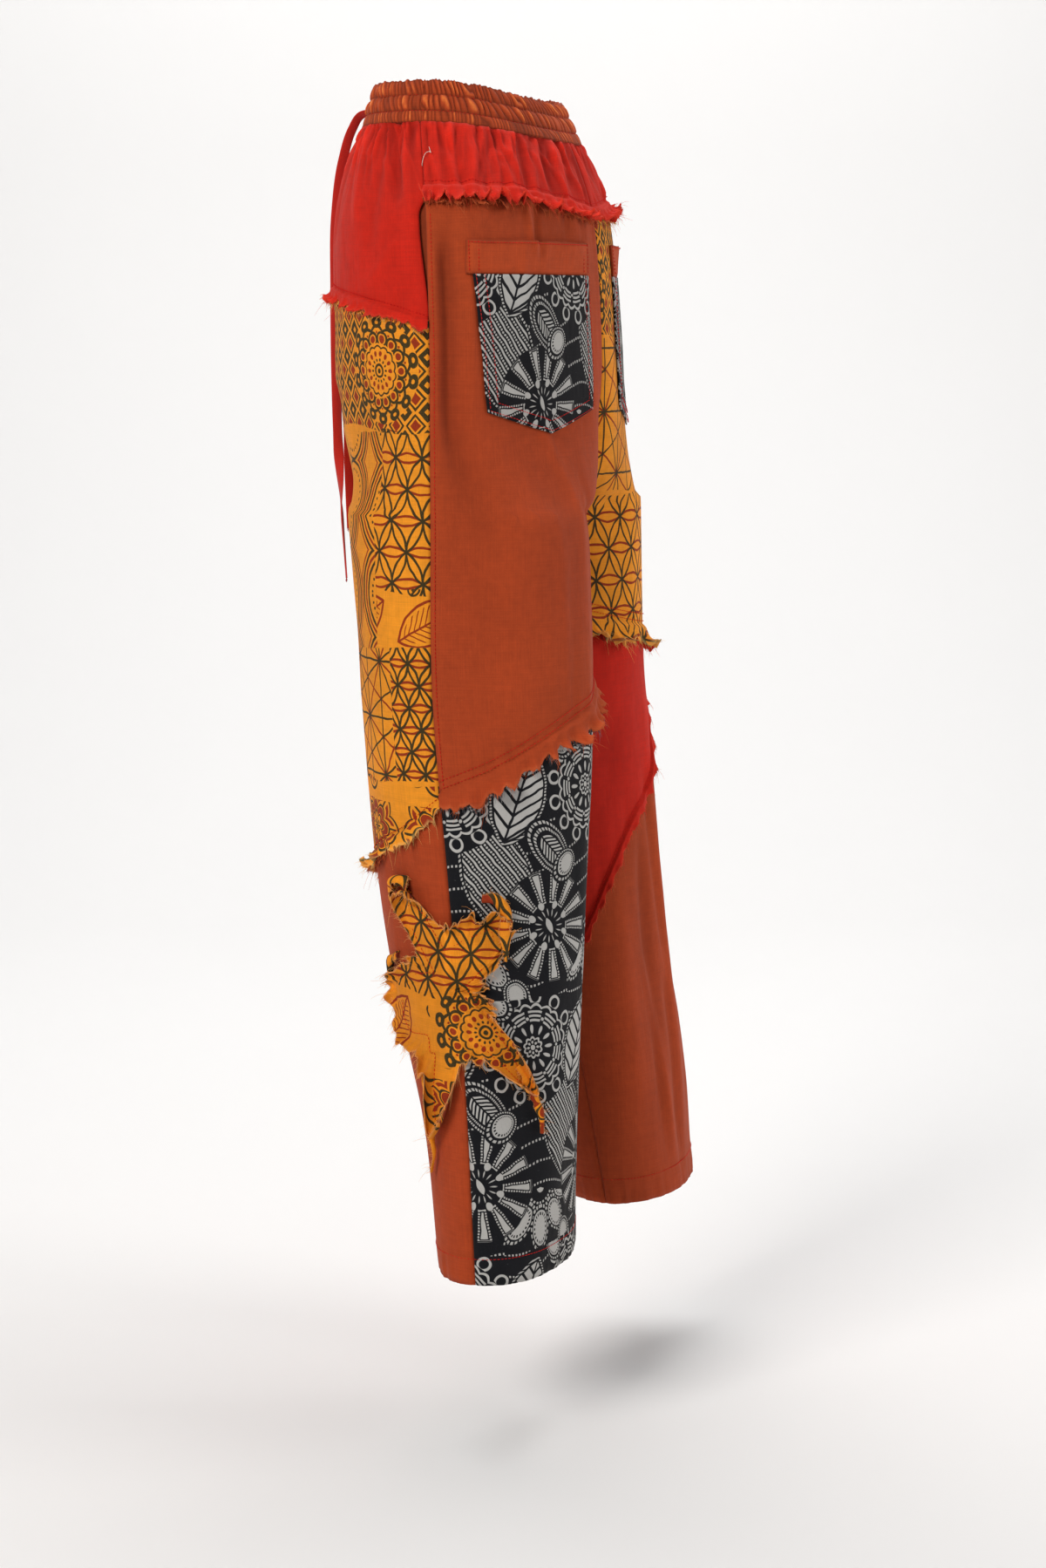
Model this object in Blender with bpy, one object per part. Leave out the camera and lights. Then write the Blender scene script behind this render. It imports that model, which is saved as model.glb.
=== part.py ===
"""Patchwork palazzo pants, worn form, in metres.

+Z is up, the wearer's left is +X and the front faces -Y. The origin is the centre of the waist opening.
A front and a back panel wrap each leg. A point of a panel is found from u and z: u runs from 0 at the side
seam to 1 at the inner edge, which is the centre seam above the crotch and the inseam below it. Each cloth
piece is a stretch of a panel between two seam lines, given a wall inwards and, where its raw edge hangs free,
a frill that stands off the piece below.
"""

import math

import bpy
import numpy as np

# ---------- cloth ----------
WALL = 0.0014
GAP = 0.0003
SEAM_U = 0.0016  # share of a panel's width left open at its side and inner edges

# ---------- waistband ----------
BAND_TOP_Z = 0.0
BAND_HEIGHT = 0.0315
BAND_BACK_DIP = 0.011
BAND_LEAN = 0.105  # share by which the band narrows from its lower edge to its top
BAND_BACK_LEAN = 0.009  # how much further in the centre back leans
BAND_THICK = 0.0028
BAND_CHANNEL_SWELL = 0.0020
BAND_GATHER_DEPTH = 0.0009
BAND_GATHERS = 60
BAND_STEPS_PER_GATHER = 3

# ---------- panels ----------
CROTCH_Z = -0.335
CROTCH_Y = 0.012
CROTCH_START_Z = -0.20
CROTCH_ROUND = {"front": 2.2, "back": 2.7}
HIP_Z = -0.17  # above this level a section is one oval round both halves
THIGH_Z = -0.335  # below this level each leg has a closed section of its own
HEM_Z = -0.942
QUARTER_ARC = 0.5523  # handle of a cubic curve that draws a quarter of an ellipse
HALF_ARC = 4 / 3  # handle of a cubic curve that draws half of one
RIGHT_LEG_RISE = 0.006
GATHER_COUNT = 40
GATHER_DEPTH = 0.0026
GATHER_REACH = 0.050

SIDE_LINE = {  # the side seam's distance from the middle plane, and its place front to back
    "z": (-0.942, -0.750, -0.612, -0.476, -0.340, -0.270, -0.200, -0.150, -0.100, -0.060, -0.030),
    "x": (0.2100, 0.2055, 0.2020, 0.1980, 0.1920, 0.1910, 0.1900, 0.1880, 0.1770, 0.1570, 0.1400),
    "y": (0.0657, 0.0540, 0.0405, 0.0275, 0.0245, 0.0240, 0.0235, 0.0215, 0.0165, 0.0075, 0.0000),
}
CENTRE_LINE = {  # the centre front and centre back seams
    "z": (-0.340, -0.200, -0.150, -0.100, -0.060, -0.030),
    "front": (-0.1040, -0.1040, -0.1060, -0.1050, -0.0955, -0.0820),
    "back": (0.1050, 0.1090, 0.1065, 0.1010, 0.0885, 0.0750),
}
LEG_LINE = {  # the inseam, the crests of a leg's front and back, and how far the right leg stands behind the left
    "z": (-0.942, -0.819, -0.750, -0.612, -0.476, -0.408, -0.335, -0.300, -0.270, -0.200),
    "inseam_x": (0.0300, 0.0270, 0.0250, 0.0190, 0.0115, 0.0065, 0.0000, 0.0000, 0.0000, 0.0000),
    "inseam_y": (0.0655, 0.0585, 0.0530, 0.0400, 0.0250, 0.0180, 0.0120, 0.0120, 0.0120, 0.0120),
    "front": (0.0140, -0.0030, -0.0205, -0.0422, -0.0570, -0.0665, -0.0758, -0.0795, -0.0845, -0.0880),
    "left_back": (0.1150, 0.1200, 0.1215, 0.1265, 0.1285, 0.1262, 0.1200, 0.1105, 0.1020, 0.0950),
    "right_back": (0.1140, 0.1170, 0.1153, 0.1145, 0.1117, 0.1105, 0.1095, 0.1090, 0.1085, 0.0980),
    "right_leg_behind": (0.0410, 0.0260, 0.0180, 0.0065, 0.0005, 0.0000, 0.0000, 0.0000, 0.0000, 0.0000),
}

# ---------- long folds: w runs round the body, 0 at the left side, 1 centre back, 2 right side, 3 centre front
FOLD_COLUMNS = ("w_top", "z_top", "w_bottom", "z_bottom", "depth", "width")
FOLDS = (
    (3.84, -0.020, 3.87, -0.106, -0.0055, 0.006),  # deep tuck in front of the left side seam
    (0.10, -0.098, 0.11, -0.330, -0.0045, 0.009),  # hollow between the side seam and the back pocket
    (0.70, -0.030, 0.73, -0.098, -0.0025, 0.006),
    (0.86, -0.030, 0.89, -0.098, -0.0030, 0.006),
    (1.14, -0.030, 1.11, -0.098, -0.0030, 0.006),
    (1.90, -0.098, 1.89, -0.330, -0.0040, 0.009),
    (2.16, -0.020, 2.13, -0.106, -0.0045, 0.006),
    (0.46, -0.380, 0.50, -0.900, 0.0030, 0.010),  # pressed crease down the back of the left leg
    (1.56, -0.480, 1.52, -0.960, 0.0040, 0.010),  # pressed crease down the back of the right leg
    (3.45, -0.380, 3.45, -0.900, 0.0030, 0.010),  # pressed creases down the fronts
    (2.55, -0.380, 2.55, -0.900, 0.0030, 0.010),
    (1.78, -0.560, 1.70, -0.800, -0.0040, 0.012),
)
GIRTH_QUARTER = 0.165  # length round the body of one unit of w


def smooth(x):
    """Zero below 0, one above 1, and an even ease between them."""
    x = np.clip(x, 0.0, 1.0)
    return x * x * (3.0 - 2.0 * x)


def along(table, name, z):
    """A column of a table at any height: cubic pieces whose slopes are the rows' own differences."""
    levels = np.array(table["z"])
    values = np.array(table[name])
    slopes = np.gradient(values, levels)
    z = np.clip(z, levels[0], levels[-1])
    k = np.clip(np.searchsorted(levels, z) - 1, 0, len(levels) - 2)
    step = levels[k + 1] - levels[k]
    t = (z - levels[k]) / step
    return (
        (1 + 2 * t) * (1 - t) ** 2 * values[k]
        + t * (1 - t) ** 2 * step * slopes[k]
        + t * t * (3 - 2 * t) * values[k + 1]
        + t * t * (t - 1) * step * slopes[k + 1]
    )


def inner_y(face, z):
    """The inner edge front to back: the centre seam, the crotch's rounded curve, then the inseam."""
    line = along(CENTRE_LINE, face, z)
    t = np.clip((CROTCH_START_Z - z) / (CROTCH_START_Z - CROTCH_Z), 0.0, 1.0)
    power = CROTCH_ROUND[face]
    curve = CROTCH_Y + (line - CROTCH_Y) * (1 - t**power) ** (1 / power)
    return np.where(z > CROTCH_Z, curve, along(LEG_LINE, "inseam_y", z))


def plain_point(leg, face, u, z):
    """A panel's point without folds: a cubic curve from the side seam, over the crest, to the inner edge."""
    u, z = np.broadcast_arrays(np.asarray(u, float), np.asarray(z, float))
    forward = -1.0 if face == "front" else 1.0
    apart = smooth((HIP_Z - z) / (HIP_Z - THIGH_Z))
    side_x = along(SIDE_LINE, "x", z)
    side_y = along(SIDE_LINE, "y", z)
    edge_x = np.maximum(along(LEG_LINE, "inseam_x", z), 0) + GAP / 2
    edge_y = inner_y(face, z)
    crest = along(LEG_LINE, face if face == "front" else f"{leg}_back", z)
    leg_reach = HALF_ARC * np.abs(crest - (side_y + edge_y) / 2)
    hip_reach = QUARTER_ARC * np.abs(edge_y - side_y)
    side_handle_y = side_y + forward * (hip_reach * (1 - apart) + leg_reach * apart)
    edge_handle_x = edge_x + QUARTER_ARC * side_x * (1 - apart)
    edge_handle_y = edge_y + forward * leg_reach * apart
    a, b, c, d = (1 - u) ** 3, 3 * u * (1 - u) ** 2, 3 * u * u * (1 - u), u**3
    x = a * side_x + b * side_x + c * edge_handle_x + d * edge_x
    y = a * side_y + b * side_handle_y + c * edge_handle_y + d * edge_y
    height = z
    if leg == "right":
        x = -x
        y = y + along(LEG_LINE, "right_leg_behind", z)
        height = z + RIGHT_LEG_RISE * smooth((CROTCH_Z - z) / (CROTCH_Z - HEM_Z))
    return np.stack([x, y, height + 0 * x], axis=-1)


def plain_normal(leg, face, u, z):
    """The panel's unit normal, outwards, from small steps along u and z."""
    du, dz = 0.004, 0.002
    u, z = np.broadcast_arrays(np.asarray(u, float), np.asarray(z, float))
    u_low, u_high = np.clip(u - du, 0, 1), np.clip(u + du, 0, 1)
    across = plain_point(leg, face, u_high, z) - plain_point(leg, face, u_low, z)
    up = plain_point(leg, face, u, z + dz) - plain_point(leg, face, u, z - dz)
    normal = np.cross(across, up)
    normal /= np.linalg.norm(normal, axis=-1, keepdims=True)
    mirrored = (face == "front") == (leg == "left")
    return -normal if mirrored else normal


def around(leg, face, u):
    """w for a panel's u: the way round the body from the left side seam."""
    if leg == "left":
        return u if face == "back" else 4 - u
    return 2 - u if face == "back" else 2 + u


def folds(leg, face, u, z):
    """How far the cloth stands off its plain section: gathers under the band and the long folds."""
    w = around(leg, face, u)
    below = band_bottom_z(w) - z
    phase = 2 * math.pi * (GATHER_COUNT / 4) * w + 1.1 * np.sin(1.5 * math.pi * w) + 0.8 * np.sin(3.5 * math.pi * w)
    strength = GATHER_DEPTH * np.exp(-np.clip(below, 0, None) / GATHER_REACH) * (0.75 + 0.25 * np.sin(2.5 * math.pi * w))
    out = strength * np.cos(phase) * smooth(below / 0.012 + 0.25) * (1 - smooth(below / 0.16))
    for row in FOLDS:
        fold = dict(zip(FOLD_COLUMNS, row))
        t = (fold["z_top"] - z) / (fold["z_top"] - fold["z_bottom"])
        line = fold["w_top"] + (fold["w_bottom"] - fold["w_top"]) * np.clip(t, 0, 1)
        off = (w - line) * GIRTH_QUARTER / fold["width"]
        out = out + fold["depth"] * np.exp(-off * off) * smooth(t / 0.2) * smooth((1 - t) / 0.35)
    edge = smooth(u / 0.06) * smooth((1 - u) / 0.06)
    return out * edge + 0 * z


def cloth_point(leg, face, u, z, lift=0.0):
    """A point on the folded cloth's outer face, moved out by lift."""
    off = folds(leg, face, u, z) + lift
    return plain_point(leg, face, u, z) + off[..., None] * plain_normal(leg, face, u, z)


def band_bottom_z(w):
    """The band's lower edge, which dips at the centre back."""
    back = np.clip(np.sin(math.pi / 2 * np.asarray(w, float)), 0, 1)
    return BAND_TOP_Z - BAND_HEIGHT - BAND_BACK_DIP * back**2


def line_through(rows):
    """A seam line's height over u, eased through a few (u, z) rows."""
    us, zs = np.array(rows).T
    slopes = np.gradient(zs, us)

    def height(u):
        k = np.clip(np.searchsorted(us, u) - 1, 0, len(us) - 2)
        step = us[k + 1] - us[k]
        t = (u - us[k]) / step
        return (
            (1 + 2 * t) * (1 - t) ** 2 * zs[k]
            + t * (1 - t) ** 2 * step * slopes[k]
            + t * t * (3 - 2 * t) * zs[k + 1]
            + t * t * (t - 1) * step * slopes[k + 1]
        )

    return height


# ---------- seam lines between the patches of each panel: rows of (u, z), and the frill that hangs below ----------
SEAMS = {
    "yoke": ((0.0, -0.081), (0.5, -0.082), (1.0, -0.094)),
    "front_upper": ((0.0, -0.184), (0.2, -0.173), (0.5, -0.163), (1.0, -0.152)),
    "left_front_middle": ((0.0, -0.556), (0.1, -0.578), (0.24, -0.594), (0.5, -0.617), (1.0, -0.640)),
    "left_back_upper": ((0.0, -0.550), (0.15, -0.529), (0.3, -0.506), (0.58, -0.478), (1.0, -0.430)),
    "right_back_upper": ((0.0, -0.450), (0.5, -0.443), (1.0, -0.412)),
    "right_back_middle": ((0.0, -0.490), (0.3, -0.503), (0.40, -0.535), (0.50, -0.582), (0.62, -0.607), (0.74, -0.642), (0.875, -0.695), (1.0, -0.740)),
    "right_front_middle": ((0.0, -0.600), (0.5, -0.575), (1.0, -0.545)),
    "hem": ((0.0, HEM_Z), (1.0, HEM_Z)),
}
FRILL_STEP = 0.004  # height over which a raw edge steps out from its seam
FRILL_LIFT = WALL + 0.0010
FRILL_FLARE = 0.0035
FRILL_SCALLOP = 0.30  # share of a frill's length lost between two waves
SLIT_TOP_Z = -0.090
SLIT_BOTTOM_Z = -0.182
SLIT_WIDTH_U = 0.018

PIECES = (  # name, leg, face, seam above, seam below, frill length, frill waves, cloth
    ("yoke_back_left", "left", "back", "band", "yoke", 0.015, 11, "red"),
    ("yoke_back_right", "right", "back", "band", "yoke", 0.015, 11, "red"),
    ("front_left_upper", "left", "front", "band", "front_upper", 0.010, 8, "red"),
    ("front_right_upper", "right", "front", "band", "front_upper", 0.010, 8, "red"),
    ("front_left_middle", "left", "front", "front_upper", "left_front_middle", 0.014, 8, "ochre"),
    ("front_left_lower", "left", "front", "left_front_middle", "hem", 0, 0, "rust"),
    ("front_right_middle", "right", "front", "front_upper", "right_front_middle", 0.014, 8, "black"),
    ("front_right_lower", "right", "front", "right_front_middle", "hem", 0, 0, "rust"),
    ("back_left_upper", "left", "back", "yoke", "left_back_upper", 0.019, 10, "rust"),
    ("back_left_lower", "left", "back", "left_back_upper", "hem", 0, 0, "black"),
    ("back_right_upper", "right", "back", "yoke", "right_back_upper", 0.020, 8, "ochre"),
    ("back_right_middle", "right", "back", "right_back_upper", "right_back_middle", 0.013, 12, "red"),
    ("back_right_lower", "right", "back", "right_back_middle", "hem", 0, 0, "rust"),
)
GATHERED_COLUMNS = 24
PLAIN_COLUMNS = 14
EDGE_CROWDING = 0.35  # columns crowd this much towards the side seam and the inner edge, where a leg curves most
STEPS_PER_WAVE = 3
ROW_LEVELS = (
    *(-0.055, -0.078, -0.100, -0.124, -0.150, -0.180, -0.210, -0.232, -0.250, -0.267),
    *(-0.282, -0.296, -0.311, -0.325, -0.335, -0.360, -0.410, -0.470, -0.530),
    *(-0.590, -0.650, -0.710, -0.770, -0.830, -0.890),
)
ROW_LEAST = 0.0125

CLOTH_COLOURS = {
    "rust": (0.36, 0.085, 0.025, 1.0),
    "red": (0.58, 0.030, 0.015, 1.0),
    "ochre": (0.75, 0.31, 0.045, 1.0),
    "black": (0.018, 0.019, 0.028, 1.0),
}
CLOTH_ROUGHNESS = 0.85


def cloth_material(name):
    material = bpy.data.materials.get(name)
    if material is None:
        material = bpy.data.materials.new(name)
        material.use_nodes = True
        shader = material.node_tree.nodes["Principled BSDF"]
        shader.inputs["Base Color"].default_value = CLOTH_COLOURS[name]
        shader.inputs["Roughness"].default_value = CLOTH_ROUGHNESS
        shader.inputs["Metallic"].default_value = 0.0
    return material


def add_object(name, points, faces, cloth):
    """A closed mesh object whose faces are turned to point out."""
    points = np.asarray(points)
    faces = np.asarray(faces)
    corners = points[faces]
    volume = np.einsum("ij,ij->i", corners[:, 0], np.cross(corners[:, 1], corners[:, 2])).sum()
    if volume < 0:
        faces = faces[:, ::-1]
    mesh = bpy.data.meshes.new(name)
    mesh.from_pydata(points.tolist(), [], faces.tolist())
    mesh.materials.append(cloth_material(cloth))
    mesh.shade_smooth()
    mesh.set_sharp_from_angle(angle=math.radians(50))
    piece = bpy.data.objects.new(name, mesh)
    bpy.context.scene.collection.objects.link(piece)
    return piece


def zip_rows(first, second, first_share, second_share):
    """Triangles between two rows of point numbers, taking the next point of whichever row lags behind."""
    faces = []
    i = j = 0
    while i < len(first) - 1 or j < len(second) - 1:
        step_first = j == len(second) - 1 or (
            i < len(first) - 1 and first_share[i + 1] + first_share[i] <= second_share[j + 1] + second_share[j]
        )
        if step_first:
            faces.append((first[i], first[i + 1], second[j]))
            i += 1
        else:
            faces.append((first[i], second[j + 1], second[j]))
            j += 1
    return faces


def wall_from_rows(name, rows, cloth):
    """A closed wall from rows of (share, outer points, inner points); rows may differ in number of points."""
    points = []
    outer_rows, inner_rows = [], []
    for _, outer, inner in rows:
        outer_rows.append(list(range(len(points), len(points) + len(outer))))
        points.extend(outer)
        inner_rows.append(list(range(len(points), len(points) + len(inner))))
        points.extend(inner)
    faces = []
    for k in range(len(rows) - 1):
        shares = rows[k][0], rows[k + 1][0]
        faces += zip_rows(outer_rows[k], outer_rows[k + 1], *shares)
        faces += [f[::-1] for f in zip_rows(inner_rows[k], inner_rows[k + 1], *shares)]
        for end in (0, -1):
            a, b = outer_rows[k][end], outer_rows[k + 1][end]
            c, d = inner_rows[k + 1][end], inner_rows[k][end]
            quad = [(a, b, c), (a, c, d)]
            faces += [f[::-1] for f in quad] if end else quad
    for k, turned in ((0, False), (-1, True)):
        for i in range(len(outer_rows[k]) - 1):
            a, b = outer_rows[k][i], outer_rows[k][i + 1]
            c, d = inner_rows[k][i + 1], inner_rows[k][i]
            quad = [(a, c, b), (a, d, c)]
            faces += [f[::-1] for f in quad] if turned else quad
    return add_object(name, points, faces, cloth)


def columns_of(count):
    """Shares across a panel, from seam gap to seam gap, closer at both edges than at the crest."""
    even = np.linspace(0, 1, count + 1)
    crowded = even - EDGE_CROWDING * np.sin(2 * math.pi * even) / (2 * math.pi)
    return SEAM_U + (1 - 2 * SEAM_U) * crowded


def slit_share(z):
    """How far the front panel's edge stands back from the side seam at the pocket's slit."""
    t = (SLIT_TOP_Z - z) / (SLIT_TOP_Z - SLIT_BOTTOM_Z)
    return SLIT_WIDTH_U * smooth(t / 0.15) * smooth((1 - t) / 0.8)


def panel_row(leg, face, u, z, lift=0.0):
    """One row of a piece: its outer points, and its inner points one wall further in."""
    if face == "front":
        u = u + slit_share(z) * np.clip(1 - u / 0.3, 0, 1)
    outer = cloth_point(leg, face, u, z, lift)
    inner = cloth_point(leg, face, u, z, lift - WALL)
    return outer, inner


def row_shares(top, bottom):
    """Shares of a piece's height for its rows, so that both of its upright edges meet the row levels."""
    shares = [0.0, 1.0]
    for k in (-1, 0):
        height = top[k] - bottom[k]
        for level in ROW_LEVELS:
            share = (top[k] - level) / height
            if 0 < share < 1 and min(abs(share - other) for other in shares) * height > ROW_LEAST:
                shares.append(share)
    return sorted(shares)


def frill_row(leg, face, u, seam_z, length, waves, share, seed):
    """A row of a raw edge: it steps out over the next piece, waves in and out, and is longest at its crests."""
    wave = 0.5 + 0.5 * np.cos(2 * math.pi * waves * u + 0.9 * np.sin(7 * u + seed) + seed)
    reach = length * share * (1 - FRILL_SCALLOP * wave * share)
    lift = FRILL_LIFT + FRILL_FLARE * wave * share
    return panel_row(leg, face, u, seam_z - reach, lift)


def add_panel_piece(name, leg, face, above, below, frill, waves, cloth, seed):
    columns = GATHERED_COLUMNS if above == "band" else PLAIN_COLUMNS
    u = columns_of(columns)
    if above == "band":
        top = band_bottom_z(around(leg, face, u)) - GAP
    else:
        top = line_through(SEAMS[above])(u) - 2 * GAP
    bottom = line_through(SEAMS[below])(u)
    rows = []
    sewn = bottom + (FRILL_STEP if frill else 0)
    for share in row_shares(top, sewn):
        rows.append((u, *panel_row(leg, face, u, top + (sewn - top) * share)))
    if frill:
        fine = columns_of(waves * STEPS_PER_WAVE)
        seam_z = line_through(SEAMS[below])(fine)
        for share in (0.0, 1.0):
            rows.append((fine, *frill_row(leg, face, fine, seam_z, frill, waves, share, seed)))
    return wall_from_rows(name, rows, cloth)


def add_panels():
    for seed, (name, leg, face, above, below, frill, waves, cloth) in enumerate(PIECES):
        add_panel_piece(name, leg, face, above, below, frill, waves, cloth, seed)


# ---------- waistband: share of its height, swell of the channel there ----------
BAND_PROFILE = ((0.0, 0.15), (0.13, 1.0), (0.27, 0.0), (0.46, 1.0), (0.65, 0.0), (0.84, 1.0), (1.0, 0.35))
BAND_INSIDE = (1.0, 0.0)


def band_point(w, share, out):
    """A point of the band: its lower edge is the panels' own top section, drawn in and up to the top edge."""
    w = np.mod(w, 4)
    base = np.zeros((len(w), 3))
    for leg, face, low in (("left", "back", 0), ("right", "back", 1), ("right", "front", 2), ("left", "front", 3)):
        here = (w >= low) & (w < low + 1)
        u = w[here] - low
        u = 1 - u if (leg, face) in (("right", "back"), ("left", "front")) else u
        z = band_bottom_z(w[here])
        base[here] = plain_point(leg, face, u, z) + out[here, None] * plain_normal(leg, face, u, z)
    centre = np.array([0.0, -0.002, 0.0])
    drawn = centre + (base - centre) * (1 - BAND_LEAN * share)
    drawn[:, 1] -= BAND_BACK_LEAN * share * np.clip(np.sin(math.pi / 2 * w), 0, 1) ** 2
    drawn[:, 2] = base[:, 2] + BAND_HEIGHT * share
    return drawn


def add_waistband():
    count = BAND_GATHERS * BAND_STEPS_PER_GATHER
    w = np.arange(count) * 4 / count
    loops = []
    for k, (share, swell) in enumerate(BAND_PROFILE):
        wave = np.cos(2 * math.pi * BAND_GATHERS * w / 4 + 0.8 * np.sin(2.5 * math.pi * w) + 0.5 * k)
        out = GAP + swell * (BAND_CHANNEL_SWELL + BAND_GATHER_DEPTH * wave)
        loops.append(band_point(w, share, out))
    for share in BAND_INSIDE:
        loops.append(band_point(w, share, np.full(count, GAP - BAND_THICK)))
    points = np.concatenate(loops)
    faces = []
    for k in range(len(loops)):
        here, after = k * count, (k + 1) % len(loops) * count
        for i in range(count):
            j = (i + 1) % count
            faces.append((here + i, here + j, after + j))
            faces.append((here + i, after + j, after + i))
    add_object("waistband", points, faces, "rust")


def panel_at(leg, reach, z, lift):
    """The cloth at a distance round the leg from its side seam: positive towards the back."""
    reach, z = np.broadcast_arrays(np.asarray(reach, float), np.asarray(z, float))
    flat_reach, flat_z = reach.ravel(), z.ravel()
    us = np.linspace(0, 1, 81)
    points = np.zeros((len(flat_reach), 3))
    for face, here in (("back", flat_reach >= 0), ("front", flat_reach < 0)):
        if not here.any():
            continue
        levels = flat_z[here]
        curve = plain_point(leg, face, us[None, :], levels[:, None])
        steps = np.linalg.norm(np.diff(curve, axis=1), axis=2)
        length = np.concatenate([np.zeros((len(levels), 1)), np.cumsum(steps, axis=1)], axis=1)
        u = np.array([np.interp(abs(r), row, us) for r, row in zip(flat_reach[here], length)])
        points[here] = cloth_point(leg, face, u, levels, np.full(len(u), lift))
    return points.reshape(*reach.shape, 3)


# ---------- back patch pockets: the two edges' reach round from the side seam, and their heights ----------
POCKET_LIFT = WALL + 0.0010
POCKET_BAND_EDGES = (0.030, 0.184)
POCKET_BODY_TOP_EDGES = (0.035, 0.1865)
POCKET_BODY_FOOT_EDGES = (0.0475, 0.183)
POCKET_BAND_TOP_Z = -0.1245
POCKET_BAND_HEIGHT = 0.0255
POCKET_BODY_HEIGHT = 0.124
POCKET_POINT = 0.018
POCKET_COLUMNS = 12


def grid_wall(name, leg, reach, z, lift, cloth):
    """A wall on a panel from a grid of (reach, z), rows from top to bottom."""
    outer = panel_at(leg, reach, z, lift)
    inner = panel_at(leg, reach, z, lift - WALL)
    shares = np.linspace(0, 1, reach.shape[1])
    rows = [(shares, outer[k], inner[k]) for k in range(len(outer))]
    return wall_from_rows(name, rows, cloth)


def add_back_pocket(leg):
    across = np.linspace(0, 1, POCKET_COLUMNS + 1)
    low, high = POCKET_BAND_EDGES
    down = np.array([0.0, 0.5, 1.0])[:, None]
    reach = (low + (high - low) * across)[None, :] + 0 * down
    z = POCKET_BAND_TOP_Z - POCKET_BAND_HEIGHT * down + 0 * across
    grid_wall(f"back_pocket_band_{leg}", leg, reach, z, POCKET_LIFT, "rust")
    down = np.linspace(0, 1, 8)[:, None]
    low, high = (
        head + (foot - head) * down for head, foot in zip(POCKET_BODY_TOP_EDGES, POCKET_BODY_FOOT_EDGES)
    )
    reach = low + (high - low) * across[None, :]
    point = POCKET_POINT * (1 - np.abs(2 * across - 1))[None, :]
    top = POCKET_BAND_TOP_Z - POCKET_BAND_HEIGHT - GAP
    z = top - (POCKET_BODY_HEIGHT - POCKET_POINT + point) * down
    grid_wall(f"back_pocket_{leg}", leg, reach, z, POCKET_LIFT, "black")


# ---------- side pocket bags, hung behind the slits ----------
BAG_REACH = (-0.042, 0.010)
BAG_TOP_Z = -0.092
BAG_BOTTOM_Z = -0.235
BAG_LIFT = -WALL - 0.0016


def add_side_pocket_bag(leg):
    across = np.linspace(0, 1, 9)[None, :]
    down = np.linspace(0, 1, 8)[:, None]
    narrow = 1 - 0.35 * smooth((down - 0.6) / 0.4)
    reach = (BAG_REACH[0] + (BAG_REACH[1] - BAG_REACH[0]) * across) * narrow
    z = BAG_TOP_Z + (BAG_BOTTOM_Z - BAG_TOP_Z) * down + 0 * across
    grid_wall(f"side_pocket_bag_{leg}", leg, reach, z, BAG_LIFT, "rust")


# ---------- ragged star patch over the left side seam: rows of direction and radius ----------
STAR_CENTRE = (-0.002, -0.705)
STAR_ROWS = (  # degrees from the back, anticlockwise as seen from the left, and metres
    (0, 0.0235),
    (10, 0.025),
    (22, 0.028),
    (30, 0.038),
    (37, 0.050),
    (42, 0.066),
    (50, 0.074),
    (57, 0.0785),
    (64, 0.072),
    (72, 0.0675),
    (80, 0.062),
    (88, 0.060),
    (98, 0.056),
    (105, 0.083),
    (113, 0.087),
    (121, 0.088),
    (129, 0.084),
    (134, 0.062),
    (140, 0.043),
    (150, 0.046),
    (160, 0.052),
    (170, 0.062),
    (181, 0.072),
    (189, 0.078),
    (198, 0.084),
    (207, 0.088),
    (218, 0.086),
    (227, 0.075),
    (236, 0.070),
    (243, 0.080),
    (249, 0.094),
    (254, 0.126),
    (257.5, 0.145),
    (261.5, 0.132),
    (265, 0.116),
    (269, 0.083),
    (275, 0.066),
    (286, 0.063),
    (294, 0.078),
    (300, 0.098),
    (304, 0.109),
    (311, 0.084),
    (317, 0.059),
    (324, 0.038),
    (336, 0.029),
    (348, 0.025),
)
STAR_RINGS = ((0.16, 4), (0.32, 2), (0.48, 1), (0.62, 1), (0.75, 1), (0.88, 1), (1.0, 1))
STAR_LIFT = WALL + 0.0013


def add_star_patch():
    """Rings between the centre and the ragged outline, with fewer points inside, laid on the cloth and moved out."""
    degrees, radii = np.array(STAR_ROWS, float).T
    reach, height = [STAR_CENTRE[0]], [STAR_CENTRE[1]]
    rings, turns, top = [], [], []
    for share, stride in STAR_RINGS:
        turn, radius = degrees[::stride], share * radii[::stride]
        rings.append(list(range(len(reach), len(reach) + len(turn))))
        turns.append(np.append(turn, 360.0))
        reach.extend(STAR_CENTRE[0] + radius * np.cos(np.radians(turn)))
        height.extend(STAR_CENTRE[1] + radius * np.sin(np.radians(turn)))
    first = rings[0]
    top += [(0, first[i], first[(i + 1) % len(first)]) for i in range(len(first))]
    for k in range(len(rings) - 1):
        inside, outside = rings[k], rings[k + 1]
        top += zip_rows(outside + outside[:1], inside + inside[:1], turns[k + 1], turns[k])
    outer = panel_at("left", np.array(reach), np.array(height), STAR_LIFT)
    inner = panel_at("left", np.array(reach), np.array(height), STAR_LIFT - WALL)
    half = len(reach)
    faces = top + [(c + half, b + half, a + half) for a, b, c in top]
    last = rings[-1]
    for i in range(len(last)):
        a, b = last[i], last[(i + 1) % len(last)]
        faces += [(a, a + half, b + half), (a, b + half, b)]
    add_object("star_patch", np.concatenate([outer, inner]), faces, "ochre")


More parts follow.
